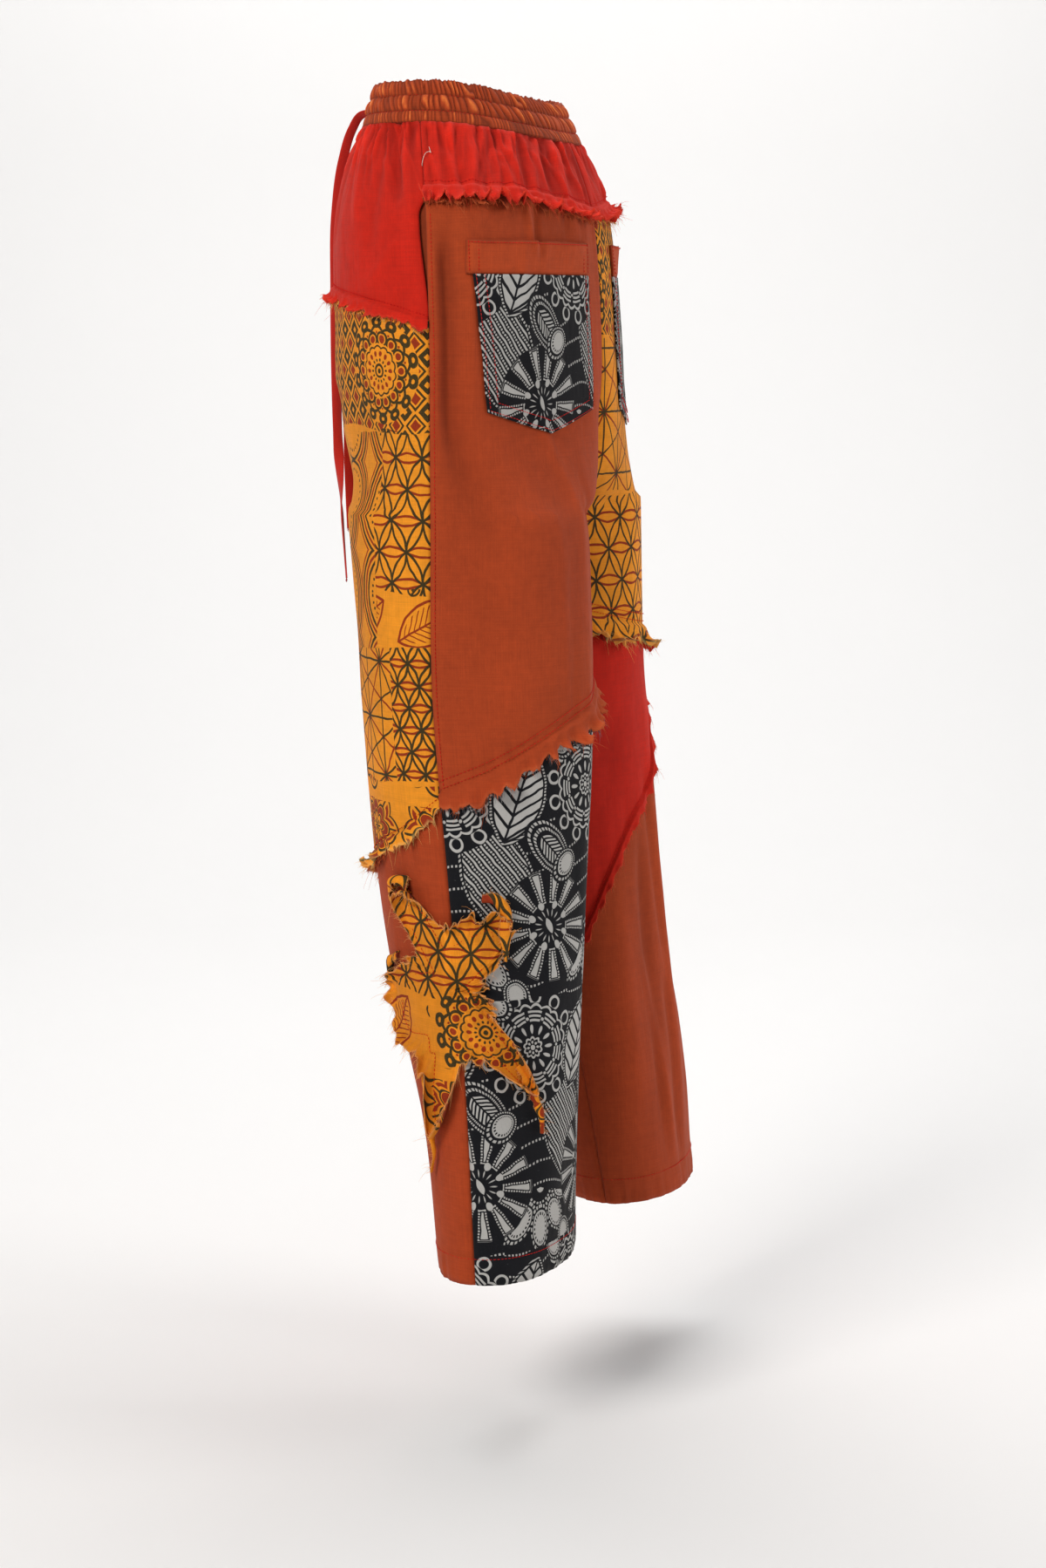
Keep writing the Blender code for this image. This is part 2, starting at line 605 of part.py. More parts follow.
# ---------- drawstring: two free ends from the centre front of the band, rows of (x, y, z) ----------
TIE_WIDTH = 0.009
TIE_STEP = 0.020
TIE_ROUTES = {
    "drawstring_end_left": (
        (0.012, -0.0834, -0.016),
        (0.012, -0.0950, -0.019),
        (0.013, -0.1020, -0.030),
        (0.014, -0.1100, -0.055),
        (0.014, -0.1165, -0.100),
        (0.013, -0.1180, -0.160),
        (0.010, -0.1190, -0.230),
        (0.008, -0.1180, -0.300),
        (0.010, -0.1150, -0.350),
        (0.014, -0.1100, -0.400),
    ),
    "drawstring_end_right": (
        (-0.012, -0.0829, -0.016),
        (-0.012, -0.0950, -0.019),
        (-0.013, -0.1020, -0.030),
        (-0.014, -0.1100, -0.055),
        (-0.015, -0.1165, -0.100),
        (-0.014, -0.1180, -0.160),
        (-0.012, -0.1185, -0.230),
        (-0.012, -0.1170, -0.290),
        (-0.014, -0.1150, -0.360),
    ),
}


def smooth_route(rows, step):
    """Points every step along a smooth curve through the rows."""
    rows = np.array(rows)
    knots = np.concatenate([[0], np.cumsum(np.linalg.norm(np.diff(rows, axis=0), axis=1))])
    slopes = np.gradient(rows, knots, axis=0)
    at = np.linspace(0, knots[-1], max(3, round(knots[-1] / step) + 1))
    k = np.clip(np.searchsorted(knots, at) - 1, 0, len(knots) - 2)
    span = (knots[k + 1] - knots[k])[:, None]
    t = ((at - knots[k]) / span[:, 0])[:, None]
    return (
        (1 + 2 * t) * (1 - t) ** 2 * rows[k]
        + t * (1 - t) ** 2 * span * slopes[k]
        + t * t * (3 - 2 * t) * rows[k + 1]
        + t * t * (t - 1) * span * slopes[k + 1]
    )


def add_drawstring():
    for name, rows in TIE_ROUTES.items():
        points = smooth_route(rows, TIE_STEP)
        curve = bpy.data.curves.new(name, "CURVE")
        curve.dimensions = "3D"
        curve.bevel_depth = TIE_WIDTH / 2
        curve.bevel_resolution = 2
        curve.use_fill_caps = True
        spline = curve.splines.new("POLY")
        spline.points.add(len(points) - 1)
        for target, point in zip(spline.points, points):
            target.co = (*point, 1.0)
        curve.materials.append(cloth_material("red"))
        piece = bpy.data.objects.new(name, curve)
        bpy.context.scene.collection.objects.link(piece)


def main():
    for old in list(bpy.data.objects):
        bpy.data.objects.remove(old, do_unlink=True)
    add_waistband()
    add_panels()
    for leg in ("left", "right"):
        add_back_pocket(leg)
        add_side_pocket_bag(leg)
    add_star_patch()
    add_drawstring()


main()
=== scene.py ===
"""Patchwork palazzo pants: cloth, prints, raw edges, stitching and drawstring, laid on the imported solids.

Metres, +Z up, the wearer's left is +X and the front faces -Y.
"""

import math

import bpy
import numpy as np
from mathutils import Matrix, Vector


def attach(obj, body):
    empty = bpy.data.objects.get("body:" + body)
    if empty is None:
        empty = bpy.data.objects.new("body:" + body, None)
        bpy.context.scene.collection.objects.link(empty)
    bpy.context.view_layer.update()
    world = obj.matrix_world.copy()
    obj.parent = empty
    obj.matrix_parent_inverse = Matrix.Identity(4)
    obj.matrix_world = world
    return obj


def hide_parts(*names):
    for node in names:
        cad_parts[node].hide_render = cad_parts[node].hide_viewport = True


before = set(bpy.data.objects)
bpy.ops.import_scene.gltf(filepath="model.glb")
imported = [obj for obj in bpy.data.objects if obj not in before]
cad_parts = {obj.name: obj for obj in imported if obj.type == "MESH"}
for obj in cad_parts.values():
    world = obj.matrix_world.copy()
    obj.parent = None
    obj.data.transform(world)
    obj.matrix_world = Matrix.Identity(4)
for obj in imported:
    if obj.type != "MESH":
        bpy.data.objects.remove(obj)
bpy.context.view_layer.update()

bl_info = {
    "name": "Patchwork Palazzo Pants",
    "version": (1, 0, 0),
    "blender": (4, 5, 0),
    "location": "View3D > Sidebar > Trousers",
    "description": "Builds the cloth, prints, raw edges and stitching of patchwork palazzo pants",
    "category": "Add Mesh",
}

# ---------- the cut: the same sections, folds and seam lines as the solids ----------
WALL = 0.0014
BAND_HEIGHT = 0.0315
BAND_BACK_DIP = 0.011
BAND_LEAN = 0.105
BAND_BACK_LEAN = 0.009
CROTCH_Z = -0.335
CROTCH_Y = 0.012
CROTCH_START_Z = -0.20
CROTCH_ROUND = {"front": 2.2, "back": 2.7}
HIP_Z = -0.17
THIGH_Z = -0.335
HEM_Z = -0.942
QUARTER_ARC = 0.5523
HALF_ARC = 4 / 3
RIGHT_LEG_RISE = 0.006
GATHER_COUNT = 40
GATHER_DEPTH = 0.0026
GATHER_REACH = 0.050
GIRTH_QUARTER = 0.165

SIDE_LINE = {
    "z": (-0.942, -0.750, -0.612, -0.476, -0.340, -0.270, -0.200, -0.150, -0.100, -0.060, -0.030),
    "x": (0.2100, 0.2055, 0.2020, 0.1980, 0.1920, 0.1910, 0.1900, 0.1880, 0.1770, 0.1570, 0.1400),
    "y": (0.0657, 0.0540, 0.0405, 0.0275, 0.0245, 0.0240, 0.0235, 0.0215, 0.0165, 0.0075, 0.0000),
}
CENTRE_LINE = {
    "z": (-0.340, -0.200, -0.150, -0.100, -0.060, -0.030),
    "front": (-0.1040, -0.1040, -0.1060, -0.1050, -0.0955, -0.0820),
    "back": (0.1050, 0.1090, 0.1065, 0.1010, 0.0885, 0.0750),
}
LEG_LINE = {
    "z": (-0.942, -0.819, -0.750, -0.612, -0.476, -0.408, -0.335, -0.300, -0.270, -0.200),
    "inseam_x": (0.0300, 0.0270, 0.0250, 0.0190, 0.0115, 0.0065, 0.0000, 0.0000, 0.0000, 0.0000),
    "inseam_y": (0.0655, 0.0585, 0.0530, 0.0400, 0.0250, 0.0180, 0.0120, 0.0120, 0.0120, 0.0120),
    "front": (0.0140, -0.0030, -0.0205, -0.0422, -0.0570, -0.0665, -0.0758, -0.0795, -0.0845, -0.0880),
    "left_back": (0.1150, 0.1200, 0.1215, 0.1265, 0.1285, 0.1262, 0.1200, 0.1105, 0.1020, 0.0950),
    "right_back": (0.1140, 0.1170, 0.1153, 0.1145, 0.1117, 0.1105, 0.1095, 0.1090, 0.1085, 0.0980),
    "right_leg_behind": (0.0410, 0.0260, 0.0180, 0.0065, 0.0005, 0.0000, 0.0000, 0.0000, 0.0000, 0.0000),
}
FOLD_COLUMNS = ("w_top", "z_top", "w_bottom", "z_bottom", "depth", "width")
FOLDS = (  # the solids' own tucks, hollows and pressed creases
    (3.84, -0.020, 3.87, -0.106, -0.0055, 0.006),
    (0.10, -0.098, 0.11, -0.330, -0.0045, 0.009),
    (0.70, -0.030, 0.73, -0.098, -0.0025, 0.006),
    (0.86, -0.030, 0.89, -0.098, -0.0030, 0.006),
    (1.14, -0.030, 1.11, -0.098, -0.0030, 0.006),
    (1.90, -0.098, 1.89, -0.330, -0.0040, 0.009),
    (2.16, -0.020, 2.13, -0.106, -0.0045, 0.006),
    (0.46, -0.380, 0.50, -0.900, 0.0030, 0.010),
    (1.56, -0.480, 1.52, -0.960, 0.0040, 0.010),
    (3.45, -0.380, 3.45, -0.900, 0.0030, 0.010),
    (2.55, -0.380, 2.55, -0.900, 0.0030, 0.010),
    (1.78, -0.560, 1.70, -0.800, -0.0040, 0.012),
)
SOFT_FOLDS = (  # shallow troughs and ridges laid over the solids' folds
    (0.16, -0.044, 0.22, -0.090, -0.0016, 0.005),
    (0.30, -0.044, 0.24, -0.096, 0.0016, 0.005),
    (0.42, -0.044, 0.33, -0.094, -0.0018, 0.004),
    (0.44, -0.060, 0.52, -0.098, 0.0014, 0.005),
    (0.60, -0.044, 0.56, -0.096, -0.0018, 0.004),
    (0.79, -0.044, 0.80, -0.102, 0.0018, 0.005),
    (0.95, -0.046, 0.99, -0.105, -0.0016, 0.005),
    (1.22, -0.044, 1.30, -0.096, 0.0016, 0.005),
    (1.44, -0.044, 1.40, -0.098, -0.0017, 0.004),
    (1.66, -0.044, 1.60, -0.096, 0.0015, 0.005),
    (1.82, -0.044, 1.84, -0.092, -0.0015, 0.005),
    (3.93, -0.040, 3.95, -0.175, 0.0016, 0.006),
    (3.76, -0.038, 3.72, -0.150, -0.0014, 0.006),
    (3.62, -0.036, 3.64, -0.120, 0.0016, 0.006),
    (3.40, -0.036, 3.36, -0.140, -0.0016, 0.007),
    (3.18, -0.034, 3.20, -0.130, 0.0014, 0.006),
    (2.84, -0.034, 2.80, -0.135, -0.0016, 0.006),
    (2.62, -0.036, 2.66, -0.120, 0.0015, 0.006),
    (2.40, -0.036, 2.36, -0.150, -0.0014, 0.006),
    (2.08, -0.040, 2.06, -0.175, 0.0014, 0.006),
    (0.12, -0.050, 0.20, -0.086, 0.0011, 0.0035),
    (0.36, -0.050, 0.27, -0.088, -0.0011, 0.0030),
    (0.48, -0.048, 0.58, -0.088, 0.0011, 0.0032),
    (0.66, -0.052, 0.60, -0.092, 0.0010, 0.0030),
    (0.76, -0.050, 0.84, -0.094, -0.0012, 0.0032),
    (0.98, -0.054, 0.90, -0.100, 0.0010, 0.0032),
    (1.06, -0.054, 1.14, -0.100, -0.0011, 0.0030),
    (1.34, -0.050, 1.26, -0.094, 0.0011, 0.0032),
    (1.52, -0.048, 1.60, -0.090, -0.0011, 0.0030),
    (3.98, -0.150, 3.80, -0.190, -0.0009, 0.0050),
    (3.90, -0.120, 3.70, -0.165, 0.0009, 0.0060),
    (0.115, -0.086, 0.12, -0.420, -0.0024, 0.0090),
    (0.53, -0.080, 0.56, -0.140, 0.0018, 0.0028),
    (0.60, -0.080, 0.585, -0.146, -0.0018, 0.0028),
    (0.80, -0.080, 0.76, -0.126, -0.0012, 0.0030),
    (0.045, -0.100, 0.05, -0.330, 0.0011, 0.0040),
    (0.235, -0.100, 0.22, -0.260, 0.0009, 0.0050),
    (1.50, -0.740, 1.46, -0.940, -0.0022, 0.0050),
    (1.28, -0.560, 1.22, -0.900, 0.0018, 0.0090),
    (0.50, -0.096, 0.47, -0.420, 0.0011, 0.004),
    (0.74, -0.260, 0.70, -0.500, -0.0008, 0.014),
    (0.56, -0.285, 0.55, -0.470, -0.0007, 0.0035),
    (0.34, -0.330, 0.37, -0.500, 0.0007, 0.0040),
    (0.10, -0.380, 0.22, -0.440, -0.0007, 0.0035),
    (0.13, -0.460, 0.30, -0.500, 0.0007, 0.0035),
    (0.40, -0.280, 0.42, -0.520, -0.0008, 0.010),
    (0.16, -0.300, 0.20, -0.540, 0.0010, 0.008),
    (0.92, -0.290, 0.74, -0.400, -0.0010, 0.008),
    (0.80, -0.420, 0.78, -0.620, 0.0012, 0.009),
    (0.24, -0.600, 0.16, -0.930, -0.0020, 0.016),
    (0.66, -0.560, 0.74, -0.930, -0.0024, 0.018),
    (0.40, -0.640, 0.36, -0.940, 0.0014, 0.014),
    (1.34, -0.120, 1.28, -0.460, -0.0018, 0.018),
    (1.12, -0.300, 1.30, -0.430, -0.0016, 0.010),
    (1.48, -0.300, 1.44, -0.520, 0.0014, 0.010),
    (1.30, -0.500, 1.24, -0.720, -0.0020, 0.014),
    (1.62, -0.520, 1.66, -0.700, -0.0022, 0.014),
    (1.42, -0.600, 1.34, -0.940, -0.0026, 0.0060),
    (1.36, -0.720, 1.41, -0.930, 0.0018, 0.0045),
    (1.47, -0.560, 1.52, -0.780, -0.0018, 0.0040),
    (1.66, -0.700, 1.72, -0.935, 0.0018, 0.014),
    (1.20, -0.680, 1.14, -0.940, 0.0018, 0.014),
    (3.70, -0.200, 3.76, -0.560, -0.0018, 0.022),
    (3.30, -0.230, 3.52, -0.350, -0.0030, 0.014),
    (3.20, -0.300, 3.44, -0.380, 0.0022, 0.010),
    (3.58, -0.420, 3.60, -0.760, 0.0016, 0.016),
    (3.84, -0.560, 3.80, -0.930, -0.0020, 0.014),
    (3.30, -0.600, 3.28, -0.930, -0.0020, 0.018),
    (2.30, -0.200, 2.24, -0.560, -0.0018, 0.022),
    (2.70, -0.230, 2.48, -0.350, -0.0030, 0.014),
    (2.80, -0.300, 2.56, -0.380, 0.0022, 0.010),
    (2.42, -0.420, 2.40, -0.760, 0.0016, 0.016),
    (2.16, -0.560, 2.20, -0.930, -0.0020, 0.014),
    (2.70, -0.600, 2.72, -0.930, -0.0020, 0.018),
)
SEAMS = {
    "yoke": ((0.0, -0.081), (0.5, -0.082), (1.0, -0.094)),
    "front_upper": ((0.0, -0.184), (0.2, -0.173), (0.5, -0.163), (1.0, -0.152)),
    "left_front_middle": ((0.0, -0.556), (0.1, -0.578), (0.24, -0.594), (0.5, -0.617), (1.0, -0.640)),
    "left_back_upper": ((0.0, -0.550), (0.15, -0.529), (0.3, -0.506), (0.58, -0.478), (1.0, -0.430)),
    "right_back_upper": ((0.0, -0.450), (0.5, -0.443), (1.0, -0.412)),
    "right_back_middle": (
        *((0.0, -0.490), (0.3, -0.503), (0.40, -0.535), (0.50, -0.582)),
        *((0.62, -0.607), (0.74, -0.642), (0.875, -0.695), (1.0, -0.740)),
    ),
    "right_front_middle": ((0.0, -0.600), (0.5, -0.575), (1.0, -0.545)),
    "hem": ((0.0, HEM_Z), (1.0, HEM_Z)),
}
PATCH_COLUMNS = ("node", "leg", "face", "above", "below", "raw_edge", "ruffles", "cloth")
PATCHES = (
    ("yoke_back_left", "left", "back", "band", "yoke", 0.015, 15, "red"),
    ("yoke_back_right", "right", "back", "band", "yoke", 0.015, 15, "red"),
    ("front_left_upper", "left", "front", "band", "front_upper", 0.010, 13, "red"),
    ("front_right_upper", "right", "front", "band", "front_upper", 0.010, 13, "red"),
    ("front_left_middle", "left", "front", "front_upper", "left_front_middle", 0.014, 13, "ochre_front"),
    ("front_left_lower", "left", "front", "left_front_middle", "hem", 0, 0, "rust"),
    ("front_right_middle", "right", "front", "front_upper", "right_front_middle", 0.014, 13, "black"),
    ("front_right_lower", "right", "front", "right_front_middle", "hem", 0, 0, "rust"),
    ("back_left_upper", "left", "back", "yoke", "left_back_upper", 0.019, 17, "rust"),
    ("back_left_lower", "left", "back", "left_back_upper", "hem", 0, 0, "black"),
    ("back_right_upper", "right", "back", "yoke", "right_back_upper", 0.020, 15, "ochre_back"),
    ("back_right_middle", "right", "back", "right_back_upper", "right_back_middle", 0.0095, 24, "red"),
    ("back_right_lower", "right", "back", "right_back_middle", "hem", 0, 0, "rust"),
)
SLIT_TOP_Z = -0.090
SLIT_BOTTOM_Z = -0.182
SLIT_WIDTH_U = 0.026
ROW_STEP = 0.0056


# ---------- shapes of the panels ----------
def smooth(x):
    """Zero below 0, one above 1, and the even ease 3x^2 - 2x^3 between them."""
    x = np.clip(x, 0.0, 1.0)
    return x * x * (3.0 - 2.0 * x)


def unit(vectors):
    return vectors / (np.linalg.norm(vectors, axis=-1, keepdims=True) + 1e-12)


def lengths_along(points):
    """Running length along a line of points, from nought."""
    steps = np.linalg.norm(np.diff(points, axis=0), axis=1)
    return np.concatenate([[0], np.cumsum(steps)])


def read_rows(at, lengths, rows):
    """Rows that belong to running lengths, read between them at other lengths."""
    columns = [np.interp(at, lengths, rows[:, k]) for k in range(rows.shape[1])]
    return np.stack(columns, -1)


def bell(x, width):
    """One at 0, and the bell curve of the square of x over its width beside it."""
    return np.exp(-((x / width) ** 2))


def grid_faces(grid):
    """Four-cornered faces between the rows and columns of a grid of point numbers."""
    corners = [grid[:-1, :-1], grid[1:, :-1], grid[1:, 1:], grid[:-1, 1:]]
    return np.stack(corners, axis=-1).reshape(-1, 4)


def ease_through(levels, values, x):
    """Cubic pieces through (level, value) rows whose slopes are the rows' own differences."""
    levels, values = np.asarray(levels, float), np.asarray(values, float)
    slopes = np.gradient(values, levels, axis=0)
    x = np.clip(x, levels[0], levels[-1])
    k = np.clip(np.searchsorted(levels, x) - 1, 0, len(levels) - 2)
    step = levels[k + 1] - levels[k]
    t = (x - levels[k]) / step
    if values.ndim > 1:
        step, t = step[:, None], t[:, None]
    return (
        (1 + 2 * t) * (1 - t) ** 2 * values[k]
        + t * (1 - t) ** 2 * step * slopes[k]
        + t * t * (3 - 2 * t) * values[k + 1]
        + t * t * (t - 1) * step * slopes[k + 1]
    )


def along(table, name, z):
    return ease_through(table["z"], table[name], z)


def seam_height(seam, u):
    us, zs = np.array(SEAMS[seam]).T
    return ease_through(us, zs, u)


def inner_y(face, z):
    """The inner edge: the centre seam, then the crotch as a rounded power curve, then the inseam."""
    line = along(CENTRE_LINE, face, z)
    t = np.clip((CROTCH_START_Z - z) / (CROTCH_START_Z - CROTCH_Z), 0.0, 1.0)
    power = CROTCH_ROUND[face]
    curve = CROTCH_Y + (line - CROTCH_Y) * (1 - t**power) ** (1 / power)
    return np.where(z > CROTCH_Z, curve, along(LEG_LINE, "inseam_y", z))


def plain_point(leg, face, u, z):
    """A cubic curve at height z from the side seam (u = 0), over the crest, to the inner edge (u = 1).

    Its handles lead the hip's quarter oval into the leg's half oval between the hip and the crotch.
    """
    u, z = np.broadcast_arrays(np.asarray(u, float), np.asarray(z, float))
    forward = -1.0 if face == "front" else 1.0
    apart = smooth((HIP_Z - z) / (HIP_Z - THIGH_Z))
    side_x = along(SIDE_LINE, "x", z)
    side_y = along(SIDE_LINE, "y", z)
    edge_x = np.maximum(along(LEG_LINE, "inseam_x", z), 0) + 0.00015
    edge_y = inner_y(face, z)
    crest = along(LEG_LINE, face if face == "front" else f"{leg}_back", z)
    leg_reach = HALF_ARC * np.abs(crest - (side_y + edge_y) / 2)
    hip_reach = QUARTER_ARC * np.abs(edge_y - side_y)
    side_handle_y = side_y + forward * (hip_reach * (1 - apart) + leg_reach * apart)
    edge_handle_x = edge_x + QUARTER_ARC * side_x * (1 - apart)
    edge_handle_y = edge_y + forward * leg_reach * apart
    a, b, c, d = (1 - u) ** 3, 3 * u * (1 - u) ** 2, 3 * u * u * (1 - u), u**3
    x = (a + b) * side_x + c * edge_handle_x + d * edge_x
    y = a * side_y + b * side_handle_y + c * edge_handle_y + d * edge_y
    height = z
    if leg == "right":
        x = -x
        y = y + along(LEG_LINE, "right_leg_behind", z)
        height = z + RIGHT_LEG_RISE * smooth((CROTCH_Z - z) / (CROTCH_Z - HEM_Z))
    return np.stack([x, y, height + 0 * x], axis=-1)


def plain_normal(leg, face, u, z):
    """Outward unit normal: the cross product of small steps along u and z."""
    u, z = np.broadcast_arrays(np.asarray(u, float), np.asarray(z, float))
    before, after = np.clip(u - 0.004, 0, 1), np.clip(u + 0.004, 0, 1)
    across = plain_point(leg, face, after, z) - plain_point(leg, face, before, z)
    up = plain_point(leg, face, u, z + 0.002) - plain_point(leg, face, u, z - 0.002)
    normal = unit(np.cross(across, up))
    return -normal if (face == "front") == (leg == "left") else normal


def around_body(leg, face, u):
    """w, the way round the body in quarters: 0 left side, 1 centre back, 2 right side, 3 centre front."""
    if leg == "left":
        return u if face == "back" else 4 - u
    return 2 - u if face == "back" else 2 + u


def band_bottom(w):
    """The waistband's lower edge, lower at the centre back."""
    return -BAND_HEIGHT - BAND_BACK_DIP * np.clip(np.sin(math.pi / 2 * w), 0, 1) ** 2


def laid_folds(rows, w, z):
    """The sum of long folds: each a bell across its width, eased in at its top and out at its foot."""
    out = 0 * w * z
    for row in rows:
        fold = dict(zip(FOLD_COLUMNS, row))
        t = (fold["z_top"] - z) / (fold["z_top"] - fold["z_bottom"])
        line = fold["w_top"] + (fold["w_bottom"] - fold["w_top"]) * np.clip(t, 0, 1)
        across = bell((w - line) * GIRTH_QUARTER, fold["width"])
        out = out + fold["depth"] * across * smooth(t / 0.2) * smooth((1 - t) / 0.35)
    return out


def slack(w, z):
    """Broad unevenness of worn cloth: a few long waves of different slant and phase, under 1 mm high."""
    across = w * GIRTH_QUARTER
    out = 0 * across * z
    for k in range(7):
        phase = 2.4 * k * k + 1.7 * k
        high = 0.00042 / (1 + 0.25 * k)
        out = out + high * np.sin(across * (38 + 23 * k) + z * (7.0 * ((k * 5) % 4) - 9) + phase)
    return out


def gathers(w, below):
    """Even gathers that fade down the cloth, with finer ones close under the band."""
    turn = math.pi * w
    phase = GATHER_COUNT / 2 * turn + 1.1 * np.sin(1.5 * turn) + 0.8 * np.sin(3.5 * turn)
    uneven = 0.75 + 0.25 * np.sin(2.5 * turn)
    down = np.clip(below, 0, None)
    strength = GATHER_DEPTH * np.exp(-down / GATHER_REACH) * uneven
    even = 0.62 * strength * np.cos(phase) * smooth(below / 0.012 + 0.25)
    fine = 2.3 * phase + 2.0 * np.sin(5.3 * w) + 1.4 * np.sin(17.0 * w)
    close = 0.0009 * np.cos(fine) * np.exp(-down / 0.014) * smooth(below / 0.004 + 0.3)
    return even * (1 - smooth(below / 0.16)) + close


def puckers(w, below):
    """Short slanting creases under the band: uneven lines that lean both ways, sharp where two meet."""
    leaning = uneven_line(21, 0.05)(w + 1.5 * below) + uneven_line(22, 0.043)(w - 1.9 * below)
    small = uneven_line(23, 0.021)(w + 0.8 * below + 0.02 * np.sin(90 * below))
    fade = bell(np.clip(below, 0, None), 0.04)
    crease = 0.0042 * (0.3 - np.minimum(np.abs(leaning), 0.6)) + 0.0014 * small
    return crease * fade * smooth(below / 0.006 + 0.3)


def relief(leg, face, u, z):
    """Height of the cloth over its plain section, eased out at the seams."""
    w = around_body(leg, face, u)
    below = band_bottom(w) - z
    out = gathers(w, below) + puckers(w, below)
    out = out + laid_folds(FOLDS, w, z) + 1.5 * laid_folds(SOFT_FOLDS, w, z)
    out = out + slack(w, z) * smooth(below / 0.05)
    edge = smooth(u / 0.06) * smooth((1 - u) / 0.06)
    return out * edge + 0 * z


def seam_groove(u, z):
    """Cloth drawn in at its side and inner seams, with the turned-under edge standing up beside them."""
    side, inner = u * 0.22, (1 - u) * 0.22
    near = np.minimum(side, inner)
    pucker = 0.5 + 0.5 * np.sin(z * 310 + 2 * np.sin(z * 47))
    turned_under = (0.00028 + 0.00016 * pucker) * bell(near - 0.005, 0.003)
    return turned_under - 0.0009 * bell(near, 0.0016)


def cloth_point(leg, face, u, z, lift=0.0):
    off = relief(leg, face, u, z) + lift
    return plain_point(leg, face, u, z) + off[..., None] * plain_normal(leg, face, u, z)


LENGTHS = {}  # filled by length_table, one grid for each panel


def length_table(leg, face):
    """Length round a panel from its side seam, on an even grid of heights and u."""
    if (leg, face) not in LENGTHS:
        us, zs = np.linspace(0, 1, 121), np.linspace(-0.96, -0.02, 190)
        points = plain_point(leg, face, us[None, :], zs[:, None])
        steps = np.linalg.norm(np.diff(points, axis=1), axis=2)
        LENGTHS[leg, face] = np.concatenate([np.zeros((len(zs), 1)), np.cumsum(steps, axis=1)], axis=1)
    return LENGTHS[leg, face]


def length_at(leg, face, u, z):
    """The table read between its points, straight along both ways."""
    table = length_table(leg, face)
    row = np.clip((z + 0.96) / 0.94 * (table.shape[0] - 1), 0, table.shape[0] - 1.001)
    column = np.clip(u, 0, 1) * (table.shape[1] - 1) * 0.999999
    i, j = row.astype(int), column.astype(int)
    a, b = row - i, column - j
    upper = table[i, j] * (1 - b) + table[i, j + 1] * b
    lower = table[i + 1, j] * (1 - b) + table[i + 1, j + 1] * b
    return upper * (1 - a) + lower * a


def u_of_reach(leg, face, reach, z):
    """u where the length round the panel equals reach, closed in on by five straight-line steps."""
    total = length_at(leg, face, np.ones_like(reach), z)
    u = np.clip(reach / total, 0, 1)
    for _ in range(5):
        here = length_at(leg, face, u, z)
        before = length_at(leg, face, np.clip(u - 0.01, 0, 1), z)
        after = length_at(leg, face, np.clip(u + 0.01, 0, 1), z)
        u = np.clip(u + (reach - here) / np.maximum((after - before) / 0.02, 0.05), 0, 1)
    return u


def leg_point(leg, reach, z, lift):
    """A point of the cloth by the distance round the leg from the side seam, positive towards the back."""
    reach, z, lift = np.broadcast_arrays(*(np.asarray(v, float) for v in (reach, z, lift)))
    back = cloth_point(leg, "back", u_of_reach(leg, "back", np.abs(reach), z), z, lift)
    front = cloth_point(leg, "front", u_of_reach(leg, "front", np.abs(reach), z), z, lift)
    return np.where((reach >= 0)[..., None], back, front)


def leg_normal(leg, reach, z):
    reach, z = np.broadcast_arrays(np.asarray(reach, float), np.asarray(z, float))
    back = plain_normal(leg, "back", u_of_reach(leg, "back", np.abs(reach), z), z)
    front = plain_normal(leg, "front", u_of_reach(leg, "front", np.abs(reach), z), z)
    return np.where((reach >= 0)[..., None], back, front)


def uneven_line(seed, spacing):
    """A smooth uneven line from -1 to 1: seeded values every spacing, eased from one to the next."""
    values = np.random.default_rng(seed).uniform(-1, 1, 997)

    def at(x):
        x = np.asarray(x, float) / spacing + 300
        k = np.floor(x).astype(int) % 996
        t = smooth(x - np.floor(x))
        return values[k] * (1 - t) + values[k + 1] * t

    return at


# ---------- sewing: walls, threads and stitches gathered into one mesh ----------
def settings():
    return bpy.context.scene.trousers_cloth


